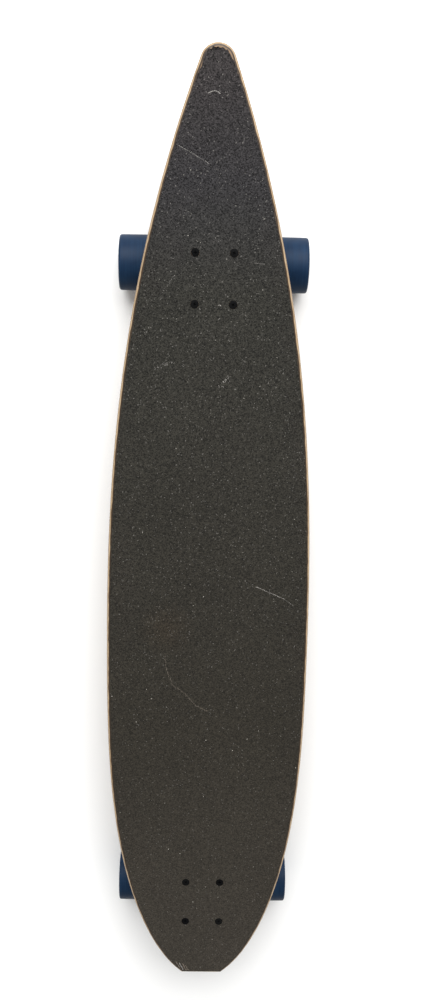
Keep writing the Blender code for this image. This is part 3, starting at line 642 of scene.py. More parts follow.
def turned(profile, sides, material, matrix=None, closed=False):
    points = [(r, 0, z) for r, z in profile]
    if closed:
        points.append(points[0])
    result = tidy(runTree(lathe, polyline(points), {"Sides": sides, "Finish": material}))
    return moved(result, matrix) if matrix else result


def turnedRing(points, sides, material, matrix=None):
    return turned(softCorners(points, True), sides, material, matrix, True)


def threaded(radius, pitch, depth, low, high, material):
    values = {"Radius": radius - depth, "Pitch": pitch, "Length": high - low, "Depth": depth, "Finish": material}
    mesh = runTree(thread, bpy.data.meshes.new("thread"), values)
    return tidy(moved(mesh, Matrix.Translation((0, 0, low))), 20)


def hexPiece(flats, low, high, hole=0, chamfer=0.0006):
    # hexagon with the corners chamfered on a lathe, bored through
    corner, half, past = flats / math.sqrt(3), flats / 2, 0.001
    wide = corner * 1.03
    bm = bmesh.new()
    size = {"segments": 6, "radius1": corner, "radius2": corner, "depth": high - low}
    bmesh.ops.create_cone(bm, cap_ends=True, matrix=Matrix.Translation((0, 0, (low + high) / 2)), **size)
    blank = [(0, low), (half, low), (wide, low + chamfer), (wide, high - chamfer), (half, high), (0, high)]
    mesh = cut(meshOf(bm), [turned(blank, 48, None)], "INTERSECT")
    if hole:
        mesh = cut(mesh, [turned(shaft(hole, low - past, high + past), 32, None)])
    return tidy(mesh, 20)


# sizes shared by the pieces; the same as the solids have

board = {
    "length": 1.087,
    "width": 0.232,
    "low": 0.0986,
    "thickness": 0.011,
    "rail": 0.004,
    "noseLength": 0.4085,
    "noseFlat": 0.0484,
    "nosePower": 2.62,
    "noseFullness": 1.78,
    "tailPower": 2.5,
    "tipRadius": 0.019,
    "boltAcross": 0.041275,
    "boltAlong": 0.053975,
    "boltHole": 0.0027,
    "frontY": -0.4425,
    "rearY": 0.3075,
}
truck = {
    "mountZ": 0.095,
    "height": 0.064,
    "axleOutset": 0.013,
    "steer": math.radians(42),
    "axleBack": 0.028,
    "rake": 0.010,
}
ends = {"front": (board["frontY"], math.pi), "rear": (board["rearY"], 0.0)}


def onTruck(y, z, along, up):
    # from (y, z), so far along the steering axis and up the kingpin
    cos, sin = math.cos(truck["steer"]), math.sin(truck["steer"])
    return y + along * cos - up * sin, z + along * sin + up * cos


ringY, ringZ = onTruck(truck["axleOutset"], -truck["height"], truck["axleBack"], truck["rake"])


def truckMatrix(end):
    y, turn = ends[end]
    return Matrix.Translation((0, y, truck["mountZ"])) @ Matrix.Rotation(turn, 4, "Z")


def pinMatrix(end):
    # Z runs up the kingpin, Y out along the steering axis, from the middle of the hanger's ring
    return truckMatrix(end) @ Matrix.Translation((0, ringY, ringZ)) @ Matrix.Rotation(truck["steer"], 4, "X")


def pivotMatrix(end):
    # Z runs from the ring to the pivot
    return pinMatrix(end) @ Matrix.Rotation(math.pi / 2, 4, "X")


def axleMatrix(end, side="right"):
    # Z runs outwards along the axle on that side
    y, turn = ends[end]
    middle = (0, y + truck["axleOutset"] * math.cos(turn), truck["mountZ"] - truck["height"])
    right = Matrix.Translation(middle) @ Matrix.Rotation(math.pi / 2, 4, "Y")
    return right if side == "right" else right @ Matrix.Rotation(math.pi, 4, "X")


grit = makeGrit(gritLook)
maple = makeMaple(mapleLook, board["low"], board["thickness"])
wheelBlue = makeUrethane("castBlueUrethane", "#0c223a", "#1e3a56", 0.5, 0.5)
bushingBlack = makeUrethane("castBlackUrethane", "#26262a", "#3c3c40", 0.4, 0.45)
castMetal = makeMetal("tumbledCastAluminium", "#c3c5c7", "#a4a6a9", 0.0014, 0.34, 0.5, 0.00012)
zincSteel = makeMetal("zincPlatedSteel", "#bfc1c3", "#a3a5a6", 0.0006, 0.22, 0.36, 0.00003)
raceSteel = makeMetal("groundBearingSteel", "#cfd0d1", "#bcbdbe", 0.0004, 0.14, 0.24, 0.00001)
blackSteel = makeMetal("blackCoatedSteel", "#070708", "#101010", 0.0005, 0.4, 0.55, 0.00003, 0.0, 0.05)
shieldBlack = makeMoulded("bearingSealRubber", "#161617", "#2b2a28", 0.0004, 0.55)
riserBlack = makeMoulded("mouldedRubber", "#1b1b1c", "#35322e", 0.0006, 0.78)
cupBlack = makeMoulded("mouldedPivotPlastic", "#1f1f21", "#302e2b", 0.0005, 0.6)
nylon = makeMoulded("nylonInsert", "#d9d5c9", "#b9b4a6", 0.0005, 0.5)
dustGrey = makeMoulded("rubbedGrit", "#8f8b86", "#a8a49d", 0.0008, 0.85)
dustPale = makeMoulded("paleSand", "#bab5ab", "#d2cdc4", 0.0008, 0.85)
dustBrown = makeMoulded("driedMud", "#6f655a", "#857c72", 0.0008, 0.9)
glintGrit = makeMetal("silicaGlint", "#6f6c69", "#8b8884", 0.001, 0.35, 0.6, 0.00005, 0.0)
print("finishes:", len(bpy.data.materials))

# deck and grip tape

headSeat = {"throat": 0.1079, "mouth": 0.1101, "radius": 0.0049}
gripTape = {
    "inset": 0.0034,  # worn back a little all round
    "low": 0.10962,
    "high": 0.11052,  # the grains reach 0.1108
    "bend": 0.00015,  # step in from the edge
    "ragged": 0.0004,  # how far the cut edge wanders
    "raggedSize": 0.006,
    "chipped": 0.0050,  # how far the tip's edge is worn back
    "chipSize": 0.004,
    "chipsFrom": 0.5,
    "chipsOver": 0.0435,
    "hole": 0.0047,
}
looseGrains = {  # density is a square metre, at the tail
    "gritFlecks": {"Density": 14000, "NoseShare": 0.35, "Smallest": 0.00018, "Largest": 0.00042, "Seed": 4},
    "dustSpecks": {"Density": 260, "NoseShare": 1.5, "Smallest": 0.00025, "Largest": 0.0006, "Seed": 9},
}


def bisect(test, low, high):
    for _ in range(60):
        middle = (low + high) / 2
        low, high = (middle, high) if test(middle) else (low, middle)
    return low


def deckOutline(board, noseSteps=170, tailSteps=260, tipSteps=26):
    # nose: a superellipse cut off straight; tail: a power curve closed by an arc
    half, power, tip = board["width"] / 2, board["tailPower"], board["tipRadius"]
    tailLength = board["length"] - board["noseLength"]
    across = lambda d, reach: half * (1 - (d / reach) ** power)
    slope = lambda d, reach: -half * power / reach * (d / reach) ** (power - 1)
    join = lambda reach: bisect(lambda d: across(d, reach) * math.hypot(1, slope(d, reach)) > tip, 0, reach)
    centre = lambda reach: join(reach) + across(join(reach), reach) * slope(join(reach), reach)
    reach = bisect(lambda r: centre(r) + tip < tailLength, tailLength / 2, tailLength * 2)
    nosePower, fullness = board["nosePower"], board["noseFullness"]
    noseReach = board["noseLength"] / (1 - (board["noseFlat"] / board["width"]) ** fullness) ** (1 / nosePower)
    widest = board["noseLength"] - board["length"] / 2
    side = []
    for step in range(noseSteps):
        d = board["noseLength"] * (1 - step / noseSteps)
        side.append((half * (1 - (d / noseReach) ** nosePower) ** (1 / fullness), widest - d))
    last = join(reach)
    for step in range(tailSteps):
        d = last * step / tailSteps
        side.append((across(d, reach), widest + d))
    middle = widest + centre(reach)
    start = math.atan2(last - centre(reach), across(last, reach))
    for step in range(tipSteps + 1):
        angle = start + (math.pi / 2 - start) * step / tipSteps
        side.append((tip * math.cos(angle), middle + tip * math.sin(angle)))
    side[-1] = (0, board["length"] / 2)
    return side + [(-x, y) for x, y in reversed(side[:-1])]


def boltPlaces(middles):
    across, along = board["boltAcross"] / 2, board["boltAlong"] / 2
    places = [(x * across, y + k * along) for y in middles for x in (1, -1) for k in (1, -1)]
    return [Matrix.Translation((x, y, 0)) for x, y in places]


def drills(profile, sides=40, middles=(board["frontY"], board["rearY"])):
    return [turned(profile, sides, None, place) for place in boltPlaces(middles)]


def tapeEdge(outline, tape):
    # the cut edge wanders a little and is worn back round the tip
    edge = []
    for x, y in inset(outline, tape["inset"]):
        wander = noise.noise(Vector((x, y, 0)) / tape["raggedSize"]) * tape["ragged"]
        chips = max(0, 0.35 + noise.noise(Vector((x, y, 0.2)) / tape["chipSize"]))
        worn = chips * tape["chipped"] * max(0, (y - tape["chipsFrom"]) / tape["chipsOver"])
        inward = (Vector((0, min(y, 0.46))) - Vector((x, y))).normalized()
        edge.append(Vector((x, y)) + inward * (max(0, wander) + worn))
    return edge


def buildDeck(board, tape):
    outline = deckOutline(board)
    under, over, hole = 0.09, 0.12, board["boltHole"]
    deck = slab(outline, board["low"], board["low"] + board["thickness"], board["rail"], 8)
    wide = headSeat["radius"]
    seat = [(0, under), (hole, under), (hole, headSeat["throat"])]
    seat += [(wide, headSeat["mouth"]), (wide, over), (0, over)]
    deck = tidy(cut(deck, drills(seat)), 40)
    put("deckBoard", deck, "board", ["deck"], maple)

    # the tape bends down with the rail along its edge
    edge = tapeEdge(outline, tape)
    rail, thick = board["rail"], tape["high"] - tape["low"]
    sections = []
    for step, up in [(k, 0) for k in (5, 4, 3, 2, 1, 0)] + [(0.15, 1)] + [(k, 1) for k in (1, 2, 3, 4, 5)]:
        extra = step * tape["bend"]
        drop = rail - math.sqrt(rail ** 2 - max(0, rail - tape["inset"] - extra) ** 2)
        sections.append([(x, y, tape["low"] - drop + up * thick) for x, y in inset(edge, extra)])
    sheet = tidy(cut(loft(sections, True), drills(shaft(tape["hole"], 0.1, over))), 40)
    put("gripSheet", sheet, "board", ["grip_tape"], grit)

    # the tape's top alone carries the loose grains
    bm = bmesh.new()
    bm.from_mesh(sheet)
    bmesh.ops.delete(bm, geom=[f for f in bm.faces if f.normal.z < 0.99], context="FACES")
    surface = meshOf(bm)
    for name, finish in (("gritFlecks", glintGrit), ("dustSpecks", dustPale)):
        grains = runTree(looseGrit, surface.copy(), {**looseGrains[name], "Finish": finish})
        put(name, grains, "board")


buildDeck(board, gripTape)
print("deck: board, tape and grit")

scuffs = [  # finish, step and spread of the grains, smallest and largest grain, path on the tape
    ("grey", 0.0007, 0.0003, 0.0002, 0.0005, [(0.0541, -0.0358), (0.0705, -0.0426), (0.0870, -0.0501)]),
    ("grey", 0.0013, 0.0003, 0.0002, 0.0004, [(0.0870, -0.0501), (0.0972, -0.0575)]),
    ("grey", 0.0006, 0.0002, 0.0002, 0.0006, [
        (-0.0100, 0.4937), (-0.0066, 0.4953), (-0.0033, 0.4963), (-0.0004, 0.4954), (0.0023, 0.4936)]),
    ("grey", 0.0009, 0.0003, 0.0002, 0.0004, [(-0.0390, 0.4420), (-0.0230, 0.4334), (-0.0083, 0.4251)]),
    ("brown", 0.0007, 0.0008, 0.0002, 0.0004, [
        (-0.0488, -0.1206), (-0.0464, -0.1391), (-0.0390, -0.1577),
        (-0.0272, -0.1658), (-0.0124, -0.1825), (0.0024, -0.1899)]),
    ("grey", 0.0006, 0.0028, 0.0003, 0.0006, [(0.0090, 0.1927), (0.0175, 0.2015)]),
    ("grey", 0.0008, 0.0022, 0.0002, 0.0005, [(-0.0618, 0.2110), (-0.0435, 0.2178)]),
    ("grey", 0.0013, 0.0010, 0.0002, 0.0004, [(-0.0539, 0.2942), (-0.0486, 0.3017), (-0.0423, 0.3112)]),
    ("brown", 0.0005, 0.0004, 0.0003, 0.0006, [(-0.0310, -0.5270), (-0.0263, -0.5358)]),
    ("grey", 0.0005, 0.0004, 0.0003, 0.0006, [(-0.0272, -0.5287), (-0.0225, -0.5376)]),
    ("brown", 0.0005, 0.0004, 0.0003, 0.0006, [(-0.0231, -0.5294), (-0.0187, -0.5386)]),
    ("brown", 0.0007, 0.0004, 0.0003, 0.0005, [(-0.0194, -0.5325), (-0.0156, -0.5386)]),
    ("grey", 0.0009, 0.0002, 0.0002, 0.0004, [(0.0423, 0.3247), (0.0529, 0.3238)]),
    ("grey", 0.0009, 0.0004, 0.0003, 0.0006, [(0.0045, 0.2801), (0.0077, 0.2796)]),
]


def buildScuffs(scuffs):
    finishes = {"grey": dustGrey, "brown": dustBrown}
    trails = {kind: [] for kind in finishes}
    for seed, (kind, step, spread, low, high, path) in enumerate(scuffs):
        line = polyline([(x, y, gripTape["high"]) for x, y in path])
        values = {"Step": step, "Spread": spread, "Smallest": low, "Largest": high, "Seed": seed}
        trails[kind].append(runTree(scuffTrail, line, {**values, "Finish": finishes[kind]}))
    for kind, finish in finishes.items():
        put(kind + "Scuffs", joined(trails[kind]), "board", (), finish)


buildScuffs(scuffs)
print("scuffs:", len(scuffs))

# deck bolts, lock nuts and riser pads

deckBolt = {
    "headRadius": 0.0045, "headEdge": 0.0005, "radius": 0.0024, "headTop": 0.1105, "end": 0.0817,
    "plain": 0.014, "threadFrom": 0.0145, "threadDepth": 0.0004, "pitch": 0.0009,
    "recess": 0.0045, "recessDepth": 0.0019, "slot": 0.00095,
}
lockNut = {
    "flats": 0.0095, "low": 0.0832, "high": 0.0887, "collar": 0.0014, "back": 0.0002, "wall": 0.0012,
    "ringNear": 0.0003, "ringFar": 0.0012, "soft": (0.0006, 0.0002, 0.0002), "sides": 40,
}
clearance = 0.0001


def nutEnd(nut, end, up, bore):
    # the collar past the hexagon and the nylon ring in it; up is 1 or -1, the way the nut ends
    rim = nut["flats"] / 2
    outer, wall = rim - nut["back"], rim - nut["wall"]
    root, near, far = (end - up * nut[key] for key in ("collar", "ringNear", "ringFar"))
    rolled, lip, soft = nut["soft"]
    collar = [(outer, root, 0), (outer, end, rolled), (wall, end, lip), (wall, root, 0)]
    ring = [(wall, far, 0), (wall, near, soft), (bore, near, soft), (bore, far, 0)]
    return turnedRing(collar, nut["sides"], zincSteel), turnedRing(ring, nut["sides"], nylon)


def recessBlade(turn):
    # one arm of the cross recess, narrowing downwards
    bm = bmesh.new()
    bmesh.ops.create_cube(bm, size=1)
    for vert in bm.verts:
        deep = vert.co.z < 0
        vert.co.x *= deckBolt["recess"] * (0.45 if deep else 1)
        vert.co.y *= deckBolt["slot"] * (0.7 if deep else 1)
        vert.co.z = -deckBolt["recessDepth"] if deep else 0.001
    bmesh.ops.rotate(bm, verts=bm.verts, matrix=Matrix.Rotation(turn, 3, "Z"))
    return meshOf(bm)


def patterned(mesh, z, finish):
    # the piece at all eight bolt holes
    proto = linked("proto", mesh)
    places = {"Front": (0, board["frontY"], z), "Rear": (0, board["rearY"], z)}
    sizes = {"Across": board["boltAcross"], "Along": board["boltAlong"], "Seed": 3}
    made = runTree(pattern, bpy.data.meshes.new("pattern"), {**sizes, **places, "Piece": proto, "Finish": finish})
    bpy.data.objects.remove(proto)
    return made


def buildBolts(bolt, nut):
    length = bolt["headTop"] - bolt["end"]
    r, head, edge, depth = bolt["radius"], bolt["headRadius"], bolt["headEdge"], bolt["threadDepth"]
    core = r - depth
    profile = softCorners([
        (0, 0, 0), (head, 0, 0.0003), (head, -edge, 0.0001), (r, -edge - (head - r), 0.0004),
        (r, -bolt["plain"], 0.0001), (core, -bolt["threadFrom"], 0),
        (core, 0.0006 - length, 0.0001), (core - 0.0004, -length, 0), (0, -length, 0),
    ])
    shank = tidy(cut(turned(profile, 40, blackSteel), [recessBlade(turn) for turn in (0, math.pi / 2)]), 30)
    ridge = threaded(r, bolt["pitch"], depth, depth - length, -bolt["threadFrom"], blackSteel)
    bolts = patterned(joined([shank, ridge]), bolt["headTop"], blackSteel)
    put("deckBolts", bolts, "board", [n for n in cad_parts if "_deck_bolt_" in n])

    # the nut's collar is on the road side
    end = nut["low"] - nut["high"]
    body = hexPiece(nut["flats"], end + nut["collar"], 0, r + clearance)
    collar, ring = nutEnd(nut, end, -1, r + clearance / 2)
    nuts = patterned(joined([body, collar]), nut["high"], zincSteel)
    put("lockNuts", nuts, "board", [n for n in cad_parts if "_lock_nut_" in n])
    put("lockNutInserts", patterned(ring, nut["high"], nylon), "board")


buildBolts(deckBolt, lockNut)
print("bolts: 8 with lock nuts")

riserPad = {"width": 0.060, "length": 0.082, "corner": 0.009, "low": 0.0951, "high": 0.0985, "edge": 0.0006}


def buildRisers(pad):
    rectangle = roundedRectangle(pad["width"], pad["length"], pad["corner"])
    for end in ends:
        outline = [(x, ends[end][0] + along) for x, along in rectangle]
        mesh = slab(outline, pad["low"], pad["high"], pad["edge"], 3, 0.0008)
        mesh = tidy(cut(mesh, drills(shaft(board["boltHole"], 0.09, 0.1))), 40)
        put(end + "RiserPad", mesh, "board", [end + "_riser_pad"], riserBlack)


buildRisers(riserPad)

# cast pieces of the trucks

baseplate = {
    "width": 0.058, "length": 0.080, "thickness": 0.006, "corner": 0.009, "edge": 0.0012,
    "towerInner": 0.031, "towerEdge": 0.0018,
    "housingRadius": 0.01129, "housingEnd": 0.0570, "housingCone": 0.0044,
    "cupMouth": 0.0423, "cupFloor": 0.0526, "seat": 0.0200, "head": 0.0320, "seatRadius": 0.0145, "pocket": 0.0084,
    "pinHole": 0.0051, "headRoom": 0.0091, "rim": 0.005, "hollow": 0.0035,
}
hanger = {
    "ringRadius": 0.016, "ringThickness": 0.008, "seatRadius": 0.0130, "seatFloor": 0.0025, "hole": 0.0070,
    "neckFrom": 0.005, "neckWidth": 0.026, "neckSpread": 0.080, "neckDepth": 0.014,
    "barRadius": 0.012, "barEnd": 0.0094, "shoulder": 0.030, "face": 0.07225, "bore": 0.0041,
    "pivotReach": 0.050, "pivotRadius": 0.0059, "pivotNeck": 0.0095, "pivotStraight": 0.0405, "pivotRoot": 0.018,
}


def rounded(mesh, width):
    bm = bmesh.new()
    bm.from_mesh(mesh)
    sharp = [e for e in bm.edges if e.is_manifold and e.calc_face_angle() > 0.5]
    bmesh.ops.bevel(bm, geom=sharp, offset=width, segments=3, profile=0.5, affect="EDGES", clamp_overlap=True)
    return meshOf(bm)


def trimmed(points, first, second, margin):
    # what is left of a convex outline more than the margin to the left of the way from first to second
    run = math.dist(first, second)
    left = ((first[1] - second[1]) / run, (second[0] - first[0]) / run)
    depth = [(y - first[0]) * left[0] + (z - first[1]) * left[1] - margin for y, z in points]
    kept = []
    for i in range(len(points)):
        j = (i + 1) % len(points)
        if depth[i] >= 0:
            kept.append(points[i])
        if depth[i] * depth[j] < 0:
            share = depth[i] / (depth[i] - depth[j])
            kept.append(tuple(p + (q - p) * share for p, q in zip(points[i], points[j])))
    return kept


def towerMesh(base):
    at = lambda along, up: onTruck(ringY, ringZ, along, up)
    r, mouth, far, rim = base["housingRadius"], base["cupMouth"], base["housingEnd"], base["rim"]
    seatY, seatZ = at(0, base["seat"])
    root = -base["thickness"] / 2
    side = [
        (-base["towerInner"], root), (seatY + (root - seatZ) / math.tan(truck["steer"]), root),
        at(-base["seatRadius"], base["seat"]), at(-mouth, r), at(-mouth, 0),
        at(base["housingCone"] - far, 0), at(0.0027 - far, r),
    ]
    tower = rounded(loft([[(x, y, z) for y, z in side] for x in (-r, r)]), base["towerEdge"])
    # hollow in either side, clear of the kingpin's head and of the cup housing
    high = -base["thickness"] - rim / 2
    past = -base["headRoom"] - rim / 2
    big = 0.1
    hollow = [(-big, -big), (big, -big), (big, big), (-big, big)]
    for first, second, margin in (
        (side[0], side[-1], rim),
        (side[3], side[2], rim),
        ((big, high), (-big, high), 0),
        (at(past, 0), at(past, big), 0),
        (at(-big, r + rim), at(0, r + rim), 0),
    ):
        hollow = trimmed(hollow, first, second, margin)
    floors = [r - base["hollow"], r + base["hollow"]]
    return cut(tower, [loft([[(sign * x, y, z) for y, z in hollow] for x in floors]) for sign in (1, -1)])


def buildBaseplates(base):
    flange = roundedRectangle(base["width"], base["length"], base["corner"])
    flange = slab(flange, -base["thickness"], 0, base["edge"], 3)
    tower = towerMesh(base)
    local = truckMatrix("rear").inverted()
    pin, pivot = local @ pinMatrix("rear"), local @ pivotMatrix("rear")
    wide, seat, head = base["seatRadius"], base["seat"], base["head"]
    boss = softCorners([(0, seat, 0), (wide, seat, 0.0008), (wide, head, 0.0015), (0, head, 0)])
    boss = turned(boss, 64, None, pin)
    r, mouth, far, cone = base["housingRadius"], base["cupMouth"], base["housingEnd"], base["housingCone"]
    housing = [(0, mouth, 0), (r, mouth, 0.0012), (r, far - cone, 0.002), (r - cone, far, 0.002), (0, far, 0)]
    housing = turned(softCorners(housing), 64, None, pivot)
    plate = casting([flange, tower, boss, housing])
    tools = [
        turned(shaft(base["pocket"], 0.03, base["cupFloor"]), 64, None, pivot),
        turned(shaft(base["pinHole"], 0, 0.04), 48, None, pin),
        turned(shaft(base["headRoom"], head, 0.08), 48, None, pin),
    ]
    tools += drills(shaft(board["boltHole"], -0.02, 0.02), 32, (0,))
    plate = tidy(cut(plate, tools), 40)
    for end in ends:
        mesh = moved(plate.copy(), truckMatrix(end))
        put(end + "Baseplate", mesh, "board", [end + "_baseplate"], castMetal)


def neckSections(shape, count=12, corners=40):
    # rounded sections that widen from the ring to the bar
    sections = []
    near, thick = shape["neckFrom"], shape["ringThickness"]
    for step in range(count + 1):
        t = step / count
        y = -near - (truck["axleBack"] - near) * t
        z = -truck["rake"] * t * t * (3 - 2 * t)
        wide = (shape["neckWidth"] + (shape["neckSpread"] - shape["neckWidth"]) * t ** 1.9) / 2
        deep = (thick + (shape["neckDepth"] - thick) * t) / 2
        loop = []
        for i in range(corners):
            a = math.tau * i / corners
            c, s = math.cos(a), math.sin(a)
            loop.append((math.copysign(abs(c) ** 0.5, c) * wide, y, z + math.copysign(abs(s) ** 0.6, s) * deep))
        sections.append(loop)
    return sections


def buildHangers(shape):
    # in the pin's frame: ring about Z, neck and nose running towards -Y, bar along X
    half, rim = shape["ringThickness"] / 2, shape["ringRadius"]
    ring = softCorners([(0, -half, 0), (rim, -half, 0.0014), (rim, half, 0.0014), (0, half, 0)])
    ring = turned(ring, 72, None)
    neck = loft(neckSections(shape))
    across = Matrix.Translation((0, -truck["axleBack"], -truck["rake"])) @ Matrix.Rotation(math.pi / 2, 4, "Y")
    face = shape["face"]
    halfBar = [(0, face, 0), (shape["barEnd"], face, 0.0012), (shape["barRadius"], shape["shoulder"], 0.012)]
    bar = turned(softCorners(mirrored(halfBar)), 72, None, across)
    reach, tip, wide, root = (shape["pivot" + key] for key in ("Reach", "Radius", "Neck", "Root"))
    arc = [math.radians(a) for a in range(15, 91, 15)]
    nose = [(0, reach)] + [(tip * math.sin(a), reach - tip + tip * math.cos(a)) for a in arc]
    nose += [(tip, shape["pivotStraight"]), (wide, truck["axleBack"]), (wide, root), (0, root)]
    pivot = turned(nose, 64, None, Matrix.Rotation(math.pi / 2, 4, "X"))
    body = casting([ring, neck, bar, pivot])
    seat, floor, hole, past = shape["seatRadius"], shape["seatFloor"], shape["hole"], 0.028
    upper = [(0, past, 0), (seat, past, 0), (seat, floor, 0), (hole, floor, 0)]
    seats = turned(softCorners(mirrored(upper)), 64, None)
    bore = turned(shaft(shape["bore"], -0.12, 0.12), 40, None, across)
    body = tidy(cut(body, [seats, bore]), 40)
    for end in ends:
        mesh = moved(body.copy(), pinMatrix(end))
        put(end + "Hanger", mesh, end + "_axle_set", [end + "_hanger"], castMetal)


buildBaseplates(baseplate)
buildHangers(hanger)
print("castings: baseplates and hangers")

# what is stacked on the kingpins, and the pivot cups

kingpin = {
    "radius": 0.00476, "flats": 0.0143, "headLow": 0.0323, "headHigh": 0.0383, "end": -0.0285,
    "plain": -0.008, "threadFrom": -0.0085, "threadDepth": 0.0005, "pitch": 0.0011,
}
kingpinNut = {
    "flats": 0.0143, "low": -0.0265, "high": -0.0180, "collar": 0.0022, "back": 0.0004, "wall": 0.0018,
    "ringNear": 0.0005, "ringFar": 0.0020, "soft": (0.0010, 0.0003, 0.0003), "sides": 48,
}
washers = {  # either side: start, radius
    "thickness": 0.0016, "lip": 0.0011, "lipWidth": 0.0009,
    "boardside": (0.0181, 0.0134), "roadside": (-0.0161, 0.0117),
}
bushings = {  # either side: end at the hanger, end at the washer
    "radius": 0.0122, "bulge": 0.0002, "boardside": (0.0027, 0.0180), "roadside": (-0.0027, -0.0160),
    "coneEnd": 0.0095, "bore": 0.0060, "play": 0.0003,
}
pivotCup = {"inside": 0.0061, "outside": 0.0083, "mouth": 0.0423, "end": 0.0524}


def buildPin(end, pin):
    r, tip, depth = kingpin["radius"], kingpin["end"], kingpin["threadDepth"]
    core, root = r - depth, kingpin["headLow"] + 0.001
    shank = turned(softCorners([
        (0, root, 0), (r, root, 0), (r, kingpin["plain"], 0.0002), (core, kingpin["threadFrom"], 0),
        (core, tip + 0.0006, 0.0001), (core - 0.0007, tip, 0), (0, tip, 0),
    ]), 40, zincSteel)
    head = hexPiece(kingpin["flats"], kingpin["headLow"], kingpin["headHigh"])
    ridge = threaded(r, kingpin["pitch"], depth, tip + depth, kingpin["threadFrom"] - depth, zincSteel)
    mesh = moved(joined([shank, head, ridge]), pin)
    put(end + "Kingpin", mesh, "board", [end + "_kingpin"], zincSteel)

    nut = kingpinNut
    body = hexPiece(nut["flats"], nut["low"] + nut["collar"], nut["high"], r + clearance)
    collar, ring = nutEnd(nut, nut["low"], -1, r)
    mesh = moved(joined([body, collar]), pin)
    put(end + "KingpinNut", mesh, "board", [end + "_kingpin_nut"], zincSteel)
    put(end + "KingpinNutInsert", moved(ring, pin), "board")


def buildWashers(end, pin):
    # they open towards the bushings
    bore = kingpin["radius"] + 2 * clearance
    for side, up in (("boardside", 1), ("roadside", -1)):
        start, radius = washers[side]
        flat = start + up * washers["thickness"]
        lip = start - up * washers["lip"]
        inner = radius - washers["lipWidth"]
        profile = [
            (radius, flat, 0.0007), (radius, lip, 0.0003), (inner, lip, 0.0003),
            (inner, start, 0.0004), (bore, start, 0.0002), (bore, flat, 0.0002),
        ]
        mesh = turnedRing(profile, 56, zincSteel, pin)
        put(f"{end}{side.capitalize()}Washer", mesh, "board", [f"{end}_{side}_washer"])


def buildBushings(end, pin, count=12):
    # barrel on the board side, cone on the road side; each swells a little along its length
    bulge, hole = bushings["bulge"], bushings["bore"]
    wide, bore = bushings["radius"] - bulge, kingpin["radius"] + bushings["play"]
    for side, small, edge in (("boardside", wide, 0.0012), ("roadside", bushings["coneEnd"], 0.0008)):
        near, far = bushings[side]
        profile = [(hole, near), (wide - 0.0012, near)]
        for step in range(count + 1):
            t = step / count
            swell = bulge * math.sin(math.pi * t)
            profile.append((wide + (small - wide) * t + swell, near + (far - near) * (0.06 + 0.88 * t)))
        profile += [(small - edge, far), (bore, far), (bore, far - (far - near) * 0.35)]
        mesh = turned(profile, 56, bushingBlack, pin, True)
        piece = linked(f"{end}{side.capitalize()}Bushing", mesh)
        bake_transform(piece)
        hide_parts(f"{end}_{side}_bushing")


def buildCup(end, pivot):
    inside, outside, mouth, floor = (pivotCup[key] for key in ("inside", "outside", "mouth", "end"))
    cup = softCorners([
        (0, floor, 0), (outside, floor, 0.0006), (outside, mouth, 0.0004), (inside + 0.0004, mouth, 0.0003),
        (inside, mouth + 0.001, 0), (inside, floor - 0.006, 0.002), (0, floor - 0.0021, 0),
    ])
    put(end + "PivotCup", turned(cup, 48, cupBlack, pivot), "board", [end + "_pivot_cup"])


for end in ends:
    buildPin(end, pinMatrix(end))
    buildWashers(end, pinMatrix(end))
    buildBushings(end, pinMatrix(end))
    buildCup(end, pivotMatrix(end))
print("kingpins: pins, nuts, washers, bushings and pivot cups")

# axles, nuts, bearings and wheels

axle = {
    "radius": 0.004, "tip": 0.10545, "threadFrom": 0.0965, "threadDepth": 0.00045, "pitch": 0.00106,
    "washerRadius": 0.0056, "washer": 0.0009,
}
axleNut = {
    "flats": 0.0127, "low": 0.09895, "high": 0.10445, "collar": 0.0016, "back": 0.0003, "wall": 0.0015,
    "ringNear": 0.0003, "ringFar": 0.0014, "soft": (0.0008, 0.0003, 0.0002), "sides": 48,
}
bearing = {
    "radius": 0.011, "bore": 0.0041, "width": 0.007, "inner": 0.07345, "outer": 0.09075, "race": 0.0018,
    "sunk": 0.0004, "seal": 0.0006, "sealStep": 0.00025,
}
wheel = {
    "radius": 0.031, "width": 0.051, "middle": 0.08025, "lip": 0.0024, "face": 0.0195, "floor": 0.0142,
    "web": 0.0098, "crown": 0.00015,
}


def buildAxles(axle, nut):
    r, tip, start, depth = axle["radius"], axle["tip"], axle["threadFrom"], axle["threadDepth"]
    core, runOut = r - depth, start + 0.0004
    half = [(0, tip, 0), (core - 0.0005, tip, 0.0002), (core, tip - 0.0007, 0.0001)]
    half += [(core, runOut, 0), (r, start, 0.0001)]
    profile = softCorners(mirrored(half))
    w, thick, bore = axle["washerRadius"], axle["washer"], r + 2 * clearance
    for end in ends:
        rod = turned(profile, 40, zincSteel)
        ridge = threaded(r, axle["pitch"], depth, runOut, tip - 0.0006, zincSteel)
        other = moved(ridge.copy(), Matrix.Rotation(math.pi, 4, "X"))
        mesh = moved(joined([rod, ridge, other]), axleMatrix(end))
        put(end + "Axle", mesh, end + "_axle_set", [end + "_axle"], zincSteel)
        for side in ("right", "left"):
            out, name = axleMatrix(end, side), f"{end}{side.capitalize()}AxleNut"
            body = hexPiece(nut["flats"], nut["low"], nut["high"] - nut["collar"], r + clearance)
            collar, ring = nutEnd(nut, nut["high"], 1, r)
            discs = []
            for low in (nut["low"] - thick, hanger["face"]):
                high = low + thick
                disc = [(w, low, 0.0002), (w, high, 0.0002), (bore, high, 0.0001), (bore, low, 0.0001)]
                discs.append(turnedRing(disc, 40, zincSteel))
            mesh = moved(joined([body, collar, *discs]), out)
            put(name, mesh, end + "_axle_set", [f"{end}_{side}_axle_nut"], zincSteel)
            put(name + "Insert", moved(ring, out), end + "_axle_set")
            finished(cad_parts[f"{end}_{side}_spacer"].data, zincSteel)


